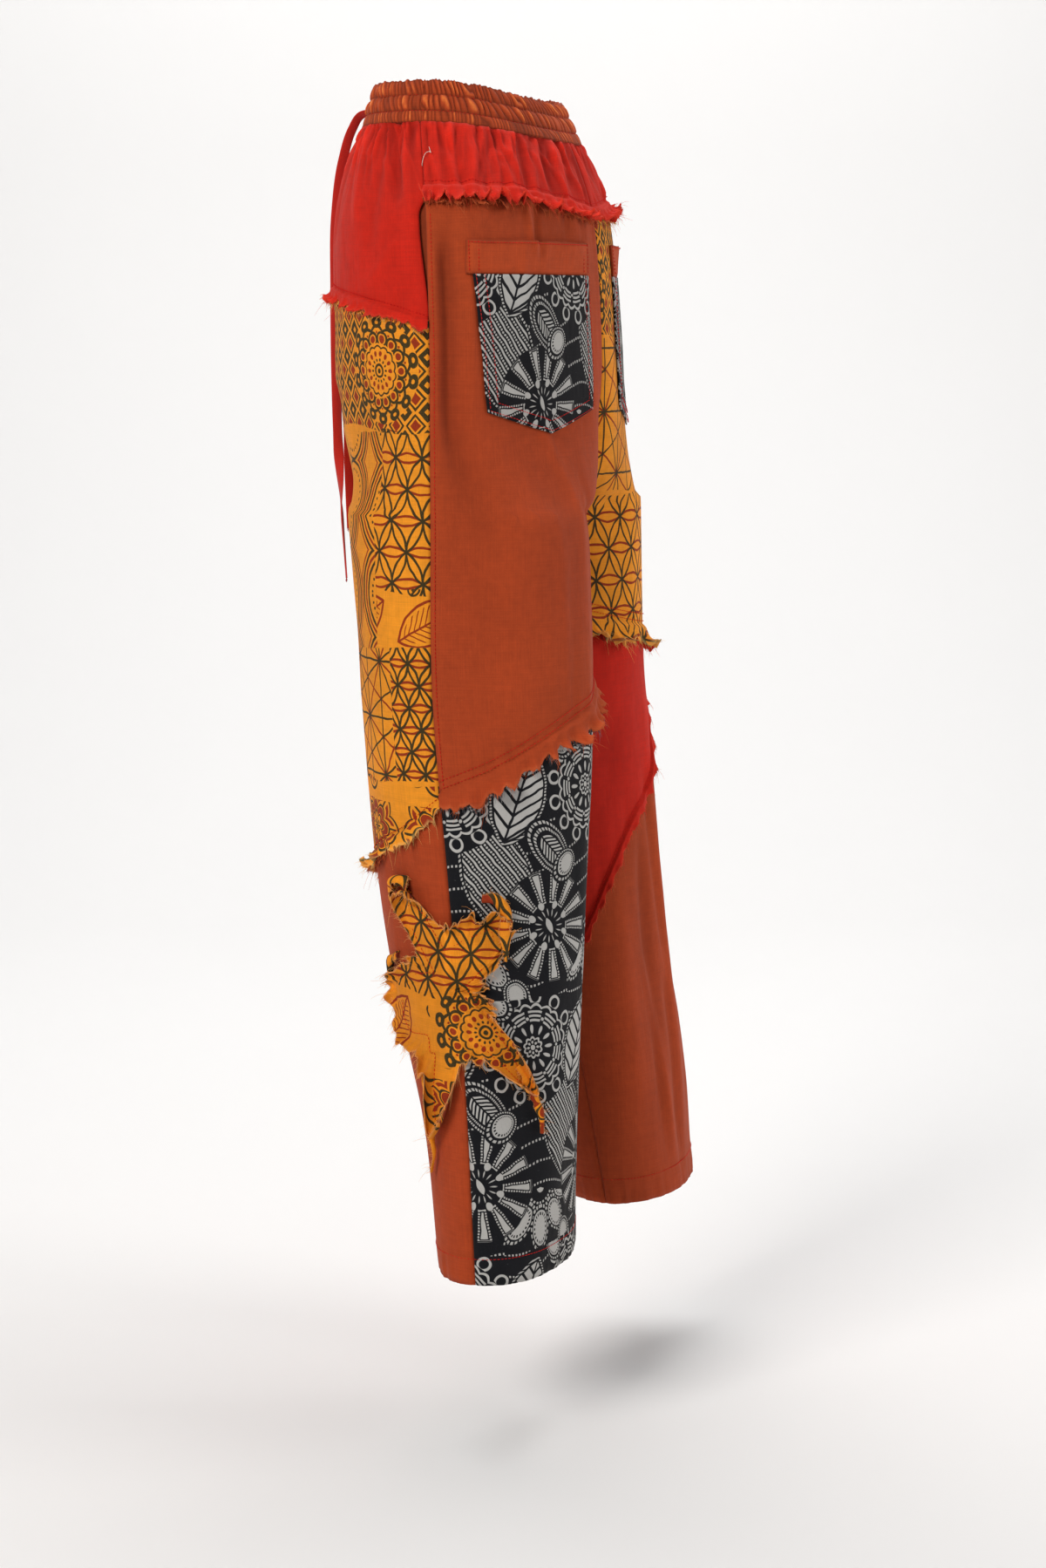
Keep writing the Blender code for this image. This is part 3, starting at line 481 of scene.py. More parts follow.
class Sewn:
    """The walls, frayed threads and stitches of one piece, kept as arrays until its mesh is made."""

    def __init__(self, name):
        self.name = name
        # tone holds a painted shade and highlight for each point; the cloth finish darkens or lightens its
        # colour by it
        self.points, self.lay, self.tone, self.edge = [], [], [], []
        self.quads, self.triangles = [], []
        self.count = 0
        self.sheet = (0.1, 0.1, 0.01)

    def put(self, points, lay, tone, edge, quads=None, triangles=None, finish=0, smooth_faces=True):
        points = points.reshape(-1, 3)
        here = len(points)
        self.points.append(points)
        self.lay.append(np.broadcast_to(lay, (here, 2)) if np.ndim(lay) == 1 else lay.reshape(-1, 2))
        self.tone.append(np.broadcast_to(np.asarray(tone, float).reshape(-1), (here,)))
        self.edge.append(np.broadcast_to(np.asarray(edge, float).reshape(-1), (here,)))
        for faces, kept in ((quads, self.quads), (triangles, self.triangles)):
            if faces is not None and len(faces):
                kept.append((faces + self.count, finish, smooth_faces))
        self.count += here

    def wall(self, outer, inner, lay, tone=0.0, edge=0.0, ring=False, finish=0):
        """A closed thin wall from two grids: the outside, the inside turned round, and flat rims."""
        rows, columns = outer.shape[:2]
        half = rows * columns
        grid = np.arange(half).reshape(rows, columns)
        if ring:
            grid = np.concatenate([grid, grid[:, :1]], axis=1)
            loop = [(grid[-1, :-1], grid[-1, 1:]), (grid[0, 1:], grid[0, :-1])]
        else:
            way = np.concatenate([grid[:, 0], grid[-1, 1:], grid[-2::-1, -1], grid[0, -2:0:-1]])
            loop = [(way, np.roll(way, -1))]
        quads = grid_faces(grid)
        start, after = (np.concatenate(side) for side in zip(*loop))
        rims = np.stack([after, start, start + half, after + half], axis=-1)
        flat = outer.reshape(-1, 3)
        facing = np.cross(flat[quads[:, 2]] - flat[quads[:, 0]], flat[quads[:, 3]] - flat[quads[:, 1]])
        away = flat[quads[:, 0]] - inner.reshape(-1, 3)[quads[:, 0]]
        if np.einsum("ij,ij->i", facing, away).sum() < 0:
            quads, rims = quads[:, ::-1], rims[:, ::-1]
        tone = np.broadcast_to(tone, (rows, columns)).reshape(-1)
        edge = np.broadcast_to(edge, (rows, columns)).reshape(-1)
        lay = np.broadcast_to(lay, (rows, columns, 2)).reshape(-1, 2)
        base = self.count
        self.put(
            np.concatenate([flat, inner.reshape(-1, 3)]),
            np.concatenate([lay, lay]),
            np.concatenate([tone, tone]),
            np.concatenate([edge, edge]),
            quads=np.concatenate([quads, quads[:, ::-1] + half]),
            finish=finish,
        )
        self.quads.append((rims + base, finish, False))

    def strands(self, routes, radii, lay, tone, edge, sides=3, finish=0):
        """Closed thin tubes, one for each route: rings square to the way it runs, and fans at both ends."""
        count, steps = routes.shape[:2]
        run = unit(np.gradient(routes, axis=1))
        aside = unit(np.cross(run, np.array([0.31, 0.52, 0.8])))
        other = np.cross(run, aside)
        turn = 2 * math.pi * np.arange(sides) / sides
        rings = aside[:, :, None] * np.cos(turn)[:, None] + other[:, :, None] * np.sin(turn)[:, None]
        radii = np.broadcast_to(radii, (count, steps))[:, :, None, None]
        points = routes[:, :, None] + rings * radii
        shape = (count, steps, sides)
        grid = np.arange(count * steps * sides).reshape(shape)
        wide = np.concatenate([grid, grid[:, :, :1]], axis=2)
        corners = [wide[:, :-1, :-1], wide[:, :-1, 1:], wide[:, 1:, 1:], wide[:, 1:, :-1]]
        quads = np.stack(corners, axis=-1).reshape(-1, 4)
        fans = [grid[:, 0, [0, k + 1, k]] for k in range(1, sides - 1)]
        fans += [grid[:, -1, [0, k, k + 1]] for k in range(1, sides - 1)]
        spread = np.broadcast_to(np.asarray(lay, float).reshape(-1, 1, 1, 2), (*shape, 2))
        tones = np.broadcast_to(np.asarray(tone, float).reshape(-1, 1, 1), shape)
        edges = np.full(points.size // 3, edge)
        self.put(points, spread, tones, edges, quads, np.concatenate(fans), finish)

    def stitches(self, route, normals, lay, step=None, length=0.0022, radius=0.0003, seed=0, finish=1):
        """Short raised threads end to end along a route, with small gaps where the needle goes in."""
        lengths = lengths_along(route)
        starts = np.arange(0, lengths[-1] - length, step or settings().stitch)
        if not len(starts):
            return
        starts = starts + np.random.default_rng(seed).uniform(-0.0002, 0.0002, len(starts))
        share = np.array([0.0, 0.25, 0.75, 1.0])
        at = starts[:, None] + length * share
        high = np.array([-0.0002, 0.0004, 0.0004, -0.0002])[None, :, None]
        routes = read_rows(at, lengths, route) + read_rows(at, lengths, normals) * high
        radii = radius * np.array([0.45, 1.0, 1.0, 0.45])
        places = read_rows(at, lengths, np.broadcast_to(lay, (len(route), 2)))[:, 2]
        self.strands(routes, radii, places, 0.5, 0.0, sides=4, finish=finish)

    def make(self, *finishes):
        mesh = bpy.data.meshes.new(self.name)
        points = np.concatenate(self.points)
        groups = self.quads + self.triangles
        corners = np.concatenate([faces.reshape(-1) for faces, _, _ in groups]).astype(np.int32)
        sizes = np.concatenate([np.full(len(faces), faces.shape[1]) for faces, _, _ in groups])
        starts = np.concatenate([[0], np.cumsum(sizes)[:-1]]).astype(np.int32)
        mesh.vertices.add(len(points))
        mesh.vertices.foreach_set("co", points.astype(np.float32).ravel())
        mesh.loops.add(len(corners))
        mesh.loops.foreach_set("vertex_index", corners)
        mesh.polygons.add(len(sizes))
        mesh.polygons.foreach_set("loop_start", starts)
        mesh.update(calc_edges=True)
        finish_of = np.concatenate([np.full(len(faces), finish) for faces, finish, _ in groups])
        rounded = np.concatenate([np.full(len(faces), smooth_faces) for faces, _, smooth_faces in groups])
        mesh.polygons.foreach_set("material_index", finish_of.astype(np.int32))
        mesh.polygons.foreach_set("use_smooth", rounded)
        laid = mesh.uv_layers.new(name="lay")
        laid.data.foreach_set("uv", np.concatenate(self.lay)[corners].astype(np.float32).ravel())
        # the painted shade and highlight, and the wear at raw edges, go to the mesh as point attributes
        for label, values in (("tone", self.tone), ("edge", self.edge)):
            layer = mesh.attributes.new(label, "FLOAT", "POINT")
            layer.data.foreach_set("value", np.concatenate(values).astype(np.float32))
        for finish in finishes:
            mesh.materials.append(finish)
        mesh.validate()
        mesh.update()
        piece = bpy.data.objects.new(self.name, mesh)
        bpy.context.scene.collection.objects.link(piece)
        return piece


def lay_of(leg, face, u, z):
    """Where the flat cloth lies: metres round from the side seam, growing to the right from outside."""
    along_u = length_at(leg, face, u, z)
    sign = 1.0 if (face == "back") == (leg == "left") else -1.0
    return np.stack([sign * along_u, z + 0 * along_u], axis=-1)


# ---------- waistband: three gathered channels between rows of stitching ----------
GAP_OUT = 0.0003
BAND_THICK = 0.0028
BAND_ROWS = (0.27, 0.66)
CHANNELS = (  # foot and head as shares of the band's height, ridges all round, their depth and slant
    (0.0, BAND_ROWS[0], 150, 0.0011, 1.2),
    (BAND_ROWS[0], BAND_ROWS[1], 92, 0.0028, 3.2),
    (BAND_ROWS[1], 1.0, 118, 0.0028, 4.4),
)
QUARTERS = (("left", "back"), ("right", "back"), ("right", "front"), ("left", "front"))


def band_point(w, share, out):
    """A point of the band: the panels' own top section below, drawn in and up to the top edge."""
    w, share, out = np.broadcast_arrays(w, share, out)
    w = np.mod(w, 4)
    base = np.zeros((*w.shape, 3))
    for low, (leg, face) in enumerate(QUARTERS):
        here = (w >= low) & (w < low + 1)
        u = w[here] - low if low in (0, 2) else low + 1 - w[here]
        z = band_bottom(w[here])
        base[here] = plain_point(leg, face, u, z) + out[here][:, None] * plain_normal(leg, face, u, z)
    centre = np.array([0.0, -0.002, 0.0])
    drawn = centre + (base - centre) * (1 - BAND_LEAN * share)[..., None]
    drawn[..., 1] -= BAND_BACK_LEAN * share * np.clip(np.sin(math.pi / 2 * w), 0, 1) ** 2
    drawn[..., 2] = base[..., 2] + BAND_HEIGHT * share
    return drawn


def gathered(w, share):
    """Each channel swells between its stitching, and its cloth stands in rounded, slanting ridges.

    A ridge is one less the 1.9th power of the way from its crest, so the valleys between are sharp. The second
    value is painted shading: light on the crests, dark in the valleys and beside the rows of stitching.
    """
    out, tone = 0 * w * share, 0 * w * share
    for k, (low, high, ridges, depth, slant) in enumerate(CHANNELS):
        t = np.clip((share - low) / (high - low), 0, 1)
        inside = (share >= low) & (share <= high)
        drift = uneven_line(31 + k, 0.09)(w) * 0.9 + uneven_line(41 + k, 0.031)(w) * 0.35
        bent = 0.35 * np.sin(3.0 * t + 9 * w) * uneven_line(51 + k, 0.2)(w)
        turn = ridges / 4 * w + drift + slant * 0.22 * t + bent
        f = np.mod(turn, 1.0)
        height = 0.62 + 0.38 * uneven_line(61 + k, 1.0)(np.floor(turn) * 3.7)
        ridge = (1 - np.abs(2 * f - 1) ** 1.9) * height
        full = np.sin(math.pi * np.clip(t, 0.0, 1.0)) ** 0.45
        swell = (0.0006 if k == 0 else 0.0013) * np.sin(math.pi * t) ** 0.7
        value = swell + depth * (ridge - 0.55) * (0.3 + 0.7 * full)
        out = np.where(inside, value, out)
        # painted shading: light on the ridges' crests, dark in their valleys
        tone = np.where(inside, ridge * (0.55 + 0.45 * full), tone)
    for line in BAND_ROWS:
        near = bell(share - line, 0.016)
        out = out - 0.0007 * near
        # painted shade beside each row of stitching
        tone = tone * (1 - 0.75 * near)
    return out, tone


def make_waistband():
    """A ring whose outside climbs through the three channels, rounds over the top edge and falls inside."""
    count, up, up_inside = 960, 38, 12
    w = (np.arange(count) * 4 / count)[None, :]
    share = np.linspace(0, 1, up)[:, None]
    value, tone = gathered(w, share)
    outer = band_point(w, share, GAP_OUT + value)
    wavy = 0.0008 * uneven_line(71, 0.024)(w) + 0.0006 * uneven_line(72, 0.011)(w)
    outer[..., 2] += wavy * smooth((share - 0.8) / 0.2)
    inside = np.linspace(0, 1, up_inside)[:, None]
    inner_value, inner_tone = gathered(w, inside)
    inner = band_point(w, inside, GAP_OUT - BAND_THICK + 0.35 * inner_value)
    inner[..., 2] += wavy * smooth((inside - 0.8) / 0.2)

    def rounded(start, end, steps, rise):
        """A half round from one rim to the other, and its height."""
        turn = np.linspace(0, math.pi, steps + 2)[1:-1, None, None]
        return (start + end) / 2 + (start - end) / 2 * np.cos(turn) + np.array([0, 0, rise]) * np.sin(turn)

    top, bottom = rounded(outer[-1], inner[-1], 5, 0.0013), rounded(inner[0], outer[0], 3, -0.0004)
    loops = np.concatenate([outer, top, inner[::-1], bottom])
    over, under = np.repeat(tone[-1:], len(top), 0), np.repeat(tone[:1], len(bottom), 0)
    # painted shade: the inside of the band takes half the painted shading, so it is darker
    tones = np.concatenate([tone, over, 0.5 * inner_tone[::-1], under])
    grid = np.arange(len(loops) * count).reshape(-1, count)
    grid = np.concatenate([grid, grid[:1]])
    grid = np.concatenate([grid, grid[:, :1]], axis=1)
    quads = grid_faces(grid)[:, [0, 3, 2, 1]]
    lay = np.stack(np.broadcast_arrays(w * GIRTH_QUARTER, loops[..., 2]), axis=-1)
    band = Sewn("waistband_cloth")
    band.put(loops, lay, tones, 0.0, quads)
    flat = np.stack(np.broadcast_arrays(w * GIRTH_QUARTER, share * BAND_HEIGHT), axis=-1)
    band.sheet = sheet_size(outer, flat)
    route_w = np.linspace(0, 4, 1400)
    for k, line in enumerate(BAND_ROWS):
        level = np.full_like(route_w, line)
        value, _ = gathered(route_w, level)
        route = band_point(route_w, level, GAP_OUT + value)
        normals = unit(route * np.array([1, 1, 0]))
        places = np.stack([route_w, route[:, 2]], -1)
        band.stitches(route, normals, places, 0.0034, 0.0024, 0.00022, seed=80 + k)
    return band


# ---------- panels: joined patches with raw edges hanging over the seam below ----------
CURLS = {  # how far raw edges turn outward, one where nothing is said
    "back_left_upper": 0.62,
    "back_right_middle": 0.34,
    "back_right_upper": 0.75,
    "front_left_upper": 0.75,
}
RAW_EDGE_LIFT = 0.0022
FOLD_CURL = 0.36
SHADE_BETWEEN_LEGS = 0.26
HEM_ROLL = 0.0212
SEWN_ABOVE = 0.0022
YOKE_SEWN_ABOVE = 0.0085


def slit_share(z):
    """How far the front panel's edge stands back from the side seam at the pocket's slit."""
    t = (SLIT_TOP_Z - z) / (SLIT_TOP_Z - SLIT_BOTTOM_Z)
    return SLIT_WIDTH_U * smooth(t / 0.15) * smooth((1 - t) / 0.8)


def hanging_edge(leg, face, u, seam_z, length, ruffles, seed, curl_share, lift_base, steps=10):
    """A raw edge from its seam down: each column leaves the seam and turns outward by its own curl.

    The angle grows as the 2.2th power of the way down, and the points are running sums along it.
    """
    drift = 2.2 * np.sin(7 * u + seed) + 1.7 * np.sin(23 * u + 2.3 * seed)
    wave = 0.5 + 0.5 * np.cos(2 * math.pi * ruffles * u + drift + seed)
    broad = uneven_line(100 + seed, 0.11)(u)
    small = uneven_line(200 + seed, 0.02)(u)
    jagged = uneven_line(300 + seed, 0.0065)(u)
    curl = curl_share * (0.15 + 2.3 * wave**1.6) * (0.75 + 0.5 * broad) + 0.8 * curl_share * small
    whole = length * (1.0 + 0.16 * broad + 0.22 * small + 0.15 * jagged - 0.22 * (1 - wave) ** 3)
    t = np.linspace(0, 1, steps + 1)[1:, None]
    angle = 0.3 * np.sin(math.pi * np.clip(t / 0.35, 0, 1)) * curl_share + curl * t**2.2
    angle = angle - 0.2 * (1 - wave) * t * curl_share
    down = np.cumsum(np.cos(angle), axis=0) * whole / steps
    out = np.cumsum(np.sin(angle), axis=0) * whole / steps
    crumple = 1 + uneven_line(600 + seed, 0.013)(u) + 0.6 * uneven_line(620 + seed, 0.005)(u + 0.05 * t)
    lift = lift_base * smooth(t / 0.22) + np.maximum(out, 0.0) + 0.0011 * curl_share * t * crumple
    u, down = np.broadcast_arrays(u[None, :], down)
    sway = 0.012 * uneven_line(400 + seed, 0.03)(u) * t**2 * curl_share
    shift = np.clip(u + sway * smooth(u / 0.03) * smooth((1 - u) / 0.03), 0.0, 1.0)
    z = seam_z[None, :] - down
    if face == "front":
        shift = shift + slit_share(z) * np.clip(1 - shift / 0.3, 0, 1)
    return cloth_point(leg, face, shift, z, lift), z, shift, t + 0 * z


def fray(piece, outer, lay, tone, seed, spacing=0.0011, longest=1.0):
    """Loose threads along a raw edge's last row: most short, a few long, all drooping as they leave."""
    rim, before = outer[-1], outer[-2]
    lengths = lengths_along(rim)
    rng = np.random.default_rng(900 + seed)
    count = max(4, int(lengths[-1] / spacing))
    at = np.sort(rng.uniform(0.0005, lengths[-1] - 0.0005, count))
    root = read_rows(at, lengths, rim)
    way = unit(root - read_rows(at, lengths, before))
    aside = unit(read_rows(at, lengths, np.gradient(rim, axis=0)))
    kind = rng.uniform(0, 1, count)
    size = np.where(kind < 0.72, rng.uniform(0.001, 0.0028, count), rng.uniform(0.0028, 0.0055, count))
    size = np.where(kind > 0.965, rng.uniform(0.007, 0.013, count), size) * longest * settings().fray_length
    lean = rng.normal(0, 0.42, count)[:, None]
    bend = rng.normal(0, 0.5, (count, 1))
    t = np.linspace(0, 1, 4)[None, :, None]
    heading = unit(way + aside * lean)[:, None, :]
    curve = aside[:, None, :] * bend[:, None] * t**2 * 0.5 + np.array([0, 0, -0.45]) * t**2
    routes = root[:, None, :] - heading * 0.0006 + size[:, None, None] * (heading * t + curve)
    radii = np.array([0.00013, 0.00012, 0.0001, 0.00005])
    piece.strands(routes, radii, read_rows(at, lengths, lay[-1]), rng.uniform(0.3, 0.9, count), 1.0)


def sew_panel(piece, leg, face, u, z, lift, seed):
    """A row of stitches along a panel at heights z."""
    route = cloth_point(leg, face, u, z, lift)
    piece.stitches(route, plain_normal(leg, face, u, z), lay_of(leg, face, u, z), seed=seed)


def patch_over(patch):
    """The patch whose raw edge hangs over the top of this one, and its place in the list."""
    for order, row in enumerate(PATCHES):
        other = dict(zip(PATCH_COLUMNS, row))
        if (other["leg"], other["face"], other["below"]) == (patch["leg"], patch["face"], patch["above"]):
            return other, order
    raise ValueError(f"{patch['node']} hangs from nothing")


def patch_lift(patch, seed, grid_u, z, from_top, from_foot):
    """How far a patch stands off its section: drawn in at its seams, uneven between, doubled at the hem."""
    pucker = 0.0003 * np.sin(grid_u * 340 + 3 * np.sin(grid_u * 37 + seed))
    lift = 0.0 * z - (0.0003 + 0.6 * pucker) * bell(from_foot, 0.003)
    if patch["above"] != "band":
        lift = lift + (0.00035 + pucker) * bell(from_top - 0.009, 0.005)
        lift = lift - 0.002 * bell(from_top, 0.003)
    lift = lift + 0.0007 * uneven_line(500 + seed, 0.03)(grid_u) * np.exp(-from_foot / 0.022)
    lift = lift + 0.0005 * uneven_line(520 + seed, 0.05)(grid_u) * np.exp(-from_top / 0.03)
    if patch["below"] == "hem":
        lift = lift + 0.00035 * smooth((0.0215 - from_foot) / 0.0012)
        lift = lift - 0.0005 * bell(from_foot - HEM_ROLL, 0.001)
        lift = lift + 0.0006 * uneven_line(540 + seed, 0.022)(grid_u) * smooth((0.03 - from_foot) / 0.03)
    return lift


def make_patch(row, seed):
    """One patch: rows from its upper seam to its lower, then its raw edge, as one thin wall."""
    patch = dict(zip(PATCH_COLUMNS, row))
    leg, face = patch["leg"], patch["face"]
    columns = 126 if patch["raw_edge"] else 112
    u = np.linspace(0.0, 1.0, columns + 1)
    foot = seam_height(patch["below"], u)
    if patch["above"] == "band":
        top, step = band_bottom(around_body(leg, face, u)) - 0.0002, ROW_STEP / 2
    else:
        top, step = seam_height(patch["above"], u) - 0.0003, ROW_STEP
    rows = max(8, int(np.abs(top - foot).mean() / step))
    share = np.linspace(0, 1, rows + 1)[:, None]
    z = top + (foot - top) * share
    grid_u = u[None, :] + 0 * z
    if face == "front":
        grid_u = grid_u + slit_share(z) * np.clip(1 - grid_u / 0.3, 0, 1)
    height = (top - foot)[None, :]
    lift = patch_lift(patch, seed, grid_u, z, share * height, (1 - share) * height)
    lift = lift * smooth(u / 0.035) * smooth((1 - u) / 0.035) + seam_groove(u[None, :], z)
    outer = cloth_point(leg, face, grid_u, z, lift)
    grid_w = around_body(leg, face, grid_u)
    below = band_bottom(grid_w) - z
    fine = gathers(grid_w, below) + puckers(grid_w, below)
    broad = relief(leg, face, grid_u, z) - fine
    edge = np.zeros_like(z)
    if patch["raw_edge"]:
        curl = CURLS.get(patch["node"], 1.0)
        length, ruffles = patch["raw_edge"], patch["ruffles"]
        raw, raw_z, raw_u, t = hanging_edge(leg, face, u, foot, length, ruffles, seed, curl, RAW_EDGE_LIFT)
        outer = np.concatenate([outer, raw])
        z = np.concatenate([z, raw_z])
        grid_u = np.concatenate([grid_u, raw_u])
        edge = np.concatenate([edge, 0.55 * smooth((t - 0.55) / 0.45)])
        # the raw edge's painted shading grows lighter towards its end
        fine, broad = np.concatenate([fine, 0.0009 * t]), np.concatenate([broad, 0 * t])
    normals = unit(np.cross(np.gradient(outer, axis=1), -np.gradient(outer, axis=0)))
    if np.einsum("ijk,ijk->ij", normals, plain_normal(leg, face, grid_u, z)).sum() < 0:
        normals = -normals
    lay = lay_of(leg, face, grid_u, z)
    # painted shade and highlight: darker in the hollows of gathers, puckers and folds, lighter on their ridges
    tone = 0.5 + np.clip(fine / 0.0045, -0.85, 0.5) + np.clip(broad / 0.018, -0.34, 0.16)
    # painted shade between the legs: darker on the inner side of each leg below the crotch
    tone = tone - SHADE_BETWEEN_LEGS * smooth((grid_u - 0.45) / 0.5) * smooth((CROTCH_Z - z) / 0.12)
    piece = Sewn(patch["node"] + "_cloth")
    piece.wall(outer, outer - normals * settings().wall, lay, tone, edge)
    piece.sheet = sheet_size(outer, lay)
    if patch["raw_edge"]:
        fray(piece, outer, lay, tone, seed)
        sew_panel(piece, leg, face, u, foot + SEWN_ABOVE, 0.0002, seed)
        if patch["above"] == "yoke":
            sew_panel(piece, leg, face, u, foot + YOKE_SEWN_ABOVE, 0.0004, seed + 9)
            down = np.linspace(-0.104, seam_height(patch["below"], np.array([0.02]))[0], 260)
            beside = u_of_reach(leg, face, np.full(len(down), 0.004), down)
            sew_panel(piece, leg, face, beside, down, 0.0002, seed + 19)
    if patch["node"] == "yoke_back_left":
        t = np.linspace(0, 1, 24)
        thread_u = 0.045 + 0.02 * np.sin(4.4 * t) - 0.03 * t
        thread_z = -0.052 - 0.013 * t - 0.003 * np.sin(7 * t)
        loose = cloth_point(leg, face, thread_u, thread_z, 0.0006 + 0.0022 * np.sin(math.pi * t))
        start = lay_of(leg, face, thread_u[:1], thread_z[:1])
        piece.strands(loose[None], 0.00022, start, 0.7, 0.0, sides=5, finish=2)
    if patch["above"] != "band":
        over, order = patch_over(patch)
        length, ruffles = over["raw_edge"] * 1.06, over["ruffles"]
        seam, lift = seam_height(patch["above"], u), 0.0007
        fold, fold_z, fold_u, t = hanging_edge(leg, face, u, seam, length, ruffles, order, FOLD_CURL, lift, 6)
        facing = plain_normal(leg, face, fold_u, fold_z)
        places = lay_of(leg, face, fold_u, fold_z)
        # painted shade: the fold under the raw edge above is painted darker (0.42)
        piece.wall(fold, fold - facing * 0.0006, places, 0.42, 0.55 * smooth((t - 0.5) / 0.5))
        fray(piece, fold, places, 0.5, seed + 40, spacing=0.0013)
    if patch["below"] == "hem":
        sew_panel(piece, leg, face, u, HEM_Z + HEM_ROLL + 0 * u, 0.0, seed)
    return patch, piece


# ---------- back patch pockets, side bags, star and drawstring ----------
POCKET_LIFT = WALL + 0.001
POCKET_BAND_EDGES = (0.03, 0.184)
POCKET_BODY_TOP_EDGES = (0.035, 0.1865)
POCKET_BODY_FOOT_EDGES = (0.0475, 0.183)
POCKET_BAND_TOP_Z = -0.1245
POCKET_BAND_HEIGHT = 0.0255
POCKET_BODY_HEIGHT = 0.124
POCKET_POINT = 0.018
SEW_IN = 0.0018
SEW_IN_AGAIN = 0.01
BAG_REACH = (-0.042, 0.01)
BAG_TOP_Z = -0.092
BAG_BOTTOM_Z = -0.235
BAG_LIFT = -WALL - 0.0016
STAR_CENTRE = (-0.002, -0.705)
STAR_ROWS = (  # degrees from the back, anticlockwise as seen from the left, and metres
    *((0, 0.0235), (10, 0.025), (22, 0.028), (30, 0.038), (37, 0.05), (42, 0.066), (50, 0.074)),
    *((57, 0.0785), (64, 0.07), (72, 0.0645), (80, 0.058), (88, 0.056), (98, 0.053), (104, 0.064)),
    *((110, 0.084), (116, 0.092), (122, 0.092), (127, 0.078), (132, 0.056), (140, 0.041), (150, 0.045)),
    *((160, 0.051), (170, 0.062), (181, 0.072)),
    *((189, 0.078), (198, 0.084), (207, 0.088), (218, 0.086), (227, 0.075), (236, 0.07), (243, 0.08)),
    *((249, 0.082), (253, 0.112), (257, 0.138), (260, 0.124), (263.5, 0.098), (268, 0.072), (275, 0.062)),
    *((286, 0.061), (293, 0.07), (299, 0.09), (303, 0.111), (307.5, 0.09), (312, 0.064), (320, 0.042)),
    *((336, 0.029), (348, 0.025)),
)
STAR_LIFT = WALL + 0.0013
TIE_WIDTH = 0.009
TIE_THICK = 0.0013
TIE_ROUTES = {
    "drawstring_end_left": (
        *((0.012, -0.0834, -0.016), (0.012, -0.095, -0.019), (0.013, -0.102, -0.03)),
        *((0.014, -0.11, -0.055), (0.014, -0.1165, -0.1), (0.013, -0.118, -0.16), (0.01, -0.119, -0.23)),
        *((0.008, -0.118, -0.3), (0.01, -0.115, -0.35), (0.014, -0.11, -0.4)),
    ),
    "drawstring_end_right": (
        *((-0.012, -0.0829, -0.016), (-0.012, -0.095, -0.019), (-0.013, -0.102, -0.03)),
        *((-0.014, -0.11, -0.055), (-0.015, -0.1165, -0.1), (-0.014, -0.118, -0.16)),
        *((-0.012, -0.1185, -0.23), (-0.012, -0.117, -0.29), (-0.014, -0.115, -0.36)),
    ),
}


def leg_lay(leg, reach, z):
    sign = 1.0 if leg == "left" else -1.0
    reach, z = np.broadcast_arrays(reach, z)
    return np.stack([sign * reach, z], axis=-1)


def leg_wall(piece, leg, reach, z, lift, thick, tone=0.5):
    """A wall on the leg's cloth from grids of reach, height and lift."""
    reach, z, lift = np.broadcast_arrays(reach, z, lift)
    outer = leg_point(leg, reach, z, lift)
    inner = leg_point(leg, reach, z, lift - thick)
    piece.wall(outer, inner, leg_lay(leg, reach, z), tone)
    piece.sheet = sheet_size(outer, leg_lay(leg, reach, z))


def leg_stitches(piece, leg, reach, z, lift, step=0.003, seed=0):
    """A row of stitches on the leg's cloth, by reach and height."""
    reach, z = np.broadcast_arrays(np.asarray(reach, float), np.asarray(z, float))
    route = leg_point(leg, reach, z, lift)
    piece.stitches(route, leg_normal(leg, reach, z), leg_lay(leg, reach, z), step=step, seed=seed)


def turned_edge(across, down, width, height):
    """Distance in from the nearest edge of a turned-under patch, as a share of a 2.5 mm roll."""
    near = np.minimum(np.minimum(across, 1 - across) * width, np.minimum(down, 1 - down) * height)
    return smooth(near / 0.0025)


def pocket_opening(across):
    """How far the band's top stands off the leg."""
    return 0.0042 * np.sin(math.pi * across) ** 0.7 * (0.7 + 0.5 * uneven_line(701, 0.2)(across))


def make_pocket_band(leg):
    """A straight strip with turned edges, that stands a little open at its top between the side stitches."""
    columns, rows = 90, 18
    across, down = np.linspace(0, 1, columns)[None, :], np.linspace(0, 1, rows)[:, None]
    low, high = POCKET_BAND_EDGES
    width = high - low
    reach = low + width * across + 0.0005 * np.sin(down * 5 + 1)
    wavy = 0.0006 * uneven_line(700, 0.12)(across) * (1 - down)
    z = POCKET_BAND_TOP_Z - POCKET_BAND_HEIGHT * down + wavy + 0 * across
    roll = turned_edge(across, down, width, POCKET_BAND_HEIGHT)
    lift = POCKET_LIFT - 0.0006 + 0.0007 * roll + pocket_opening(across) * (1 - down) ** 1.5
    lift = lift - 0.0004 * bell((1 - down) * POCKET_BAND_HEIGHT - 0.002, 0.001)
    piece = Sewn(f"back_pocket_band_{leg}_cloth")
    # painted shade: a dark outline round the band's turned edges, lighter on its middle
    leg_wall(piece, leg, reach, z, lift, 0.0015, tone=0.1 + 0.68 * roll)
    high_lift = POCKET_LIFT + 0.0002
    level = np.linspace(0.02, 0.98, 120)
    for k, at in enumerate((low + SEW_IN, high - SEW_IN, low + SEW_IN_AGAIN, high - SEW_IN_AGAIN)):
        beside = np.full(len(level), at)
        leg_stitches(piece, leg, beside, POCKET_BAND_TOP_Z - POCKET_BAND_HEIGHT * level, high_lift, seed=k)
    top = np.full(len(level), POCKET_BAND_TOP_Z - SEW_IN)
    leg_stitches(piece, leg, low + width * level, top, high_lift + pocket_opening(level), seed=5)
    return piece


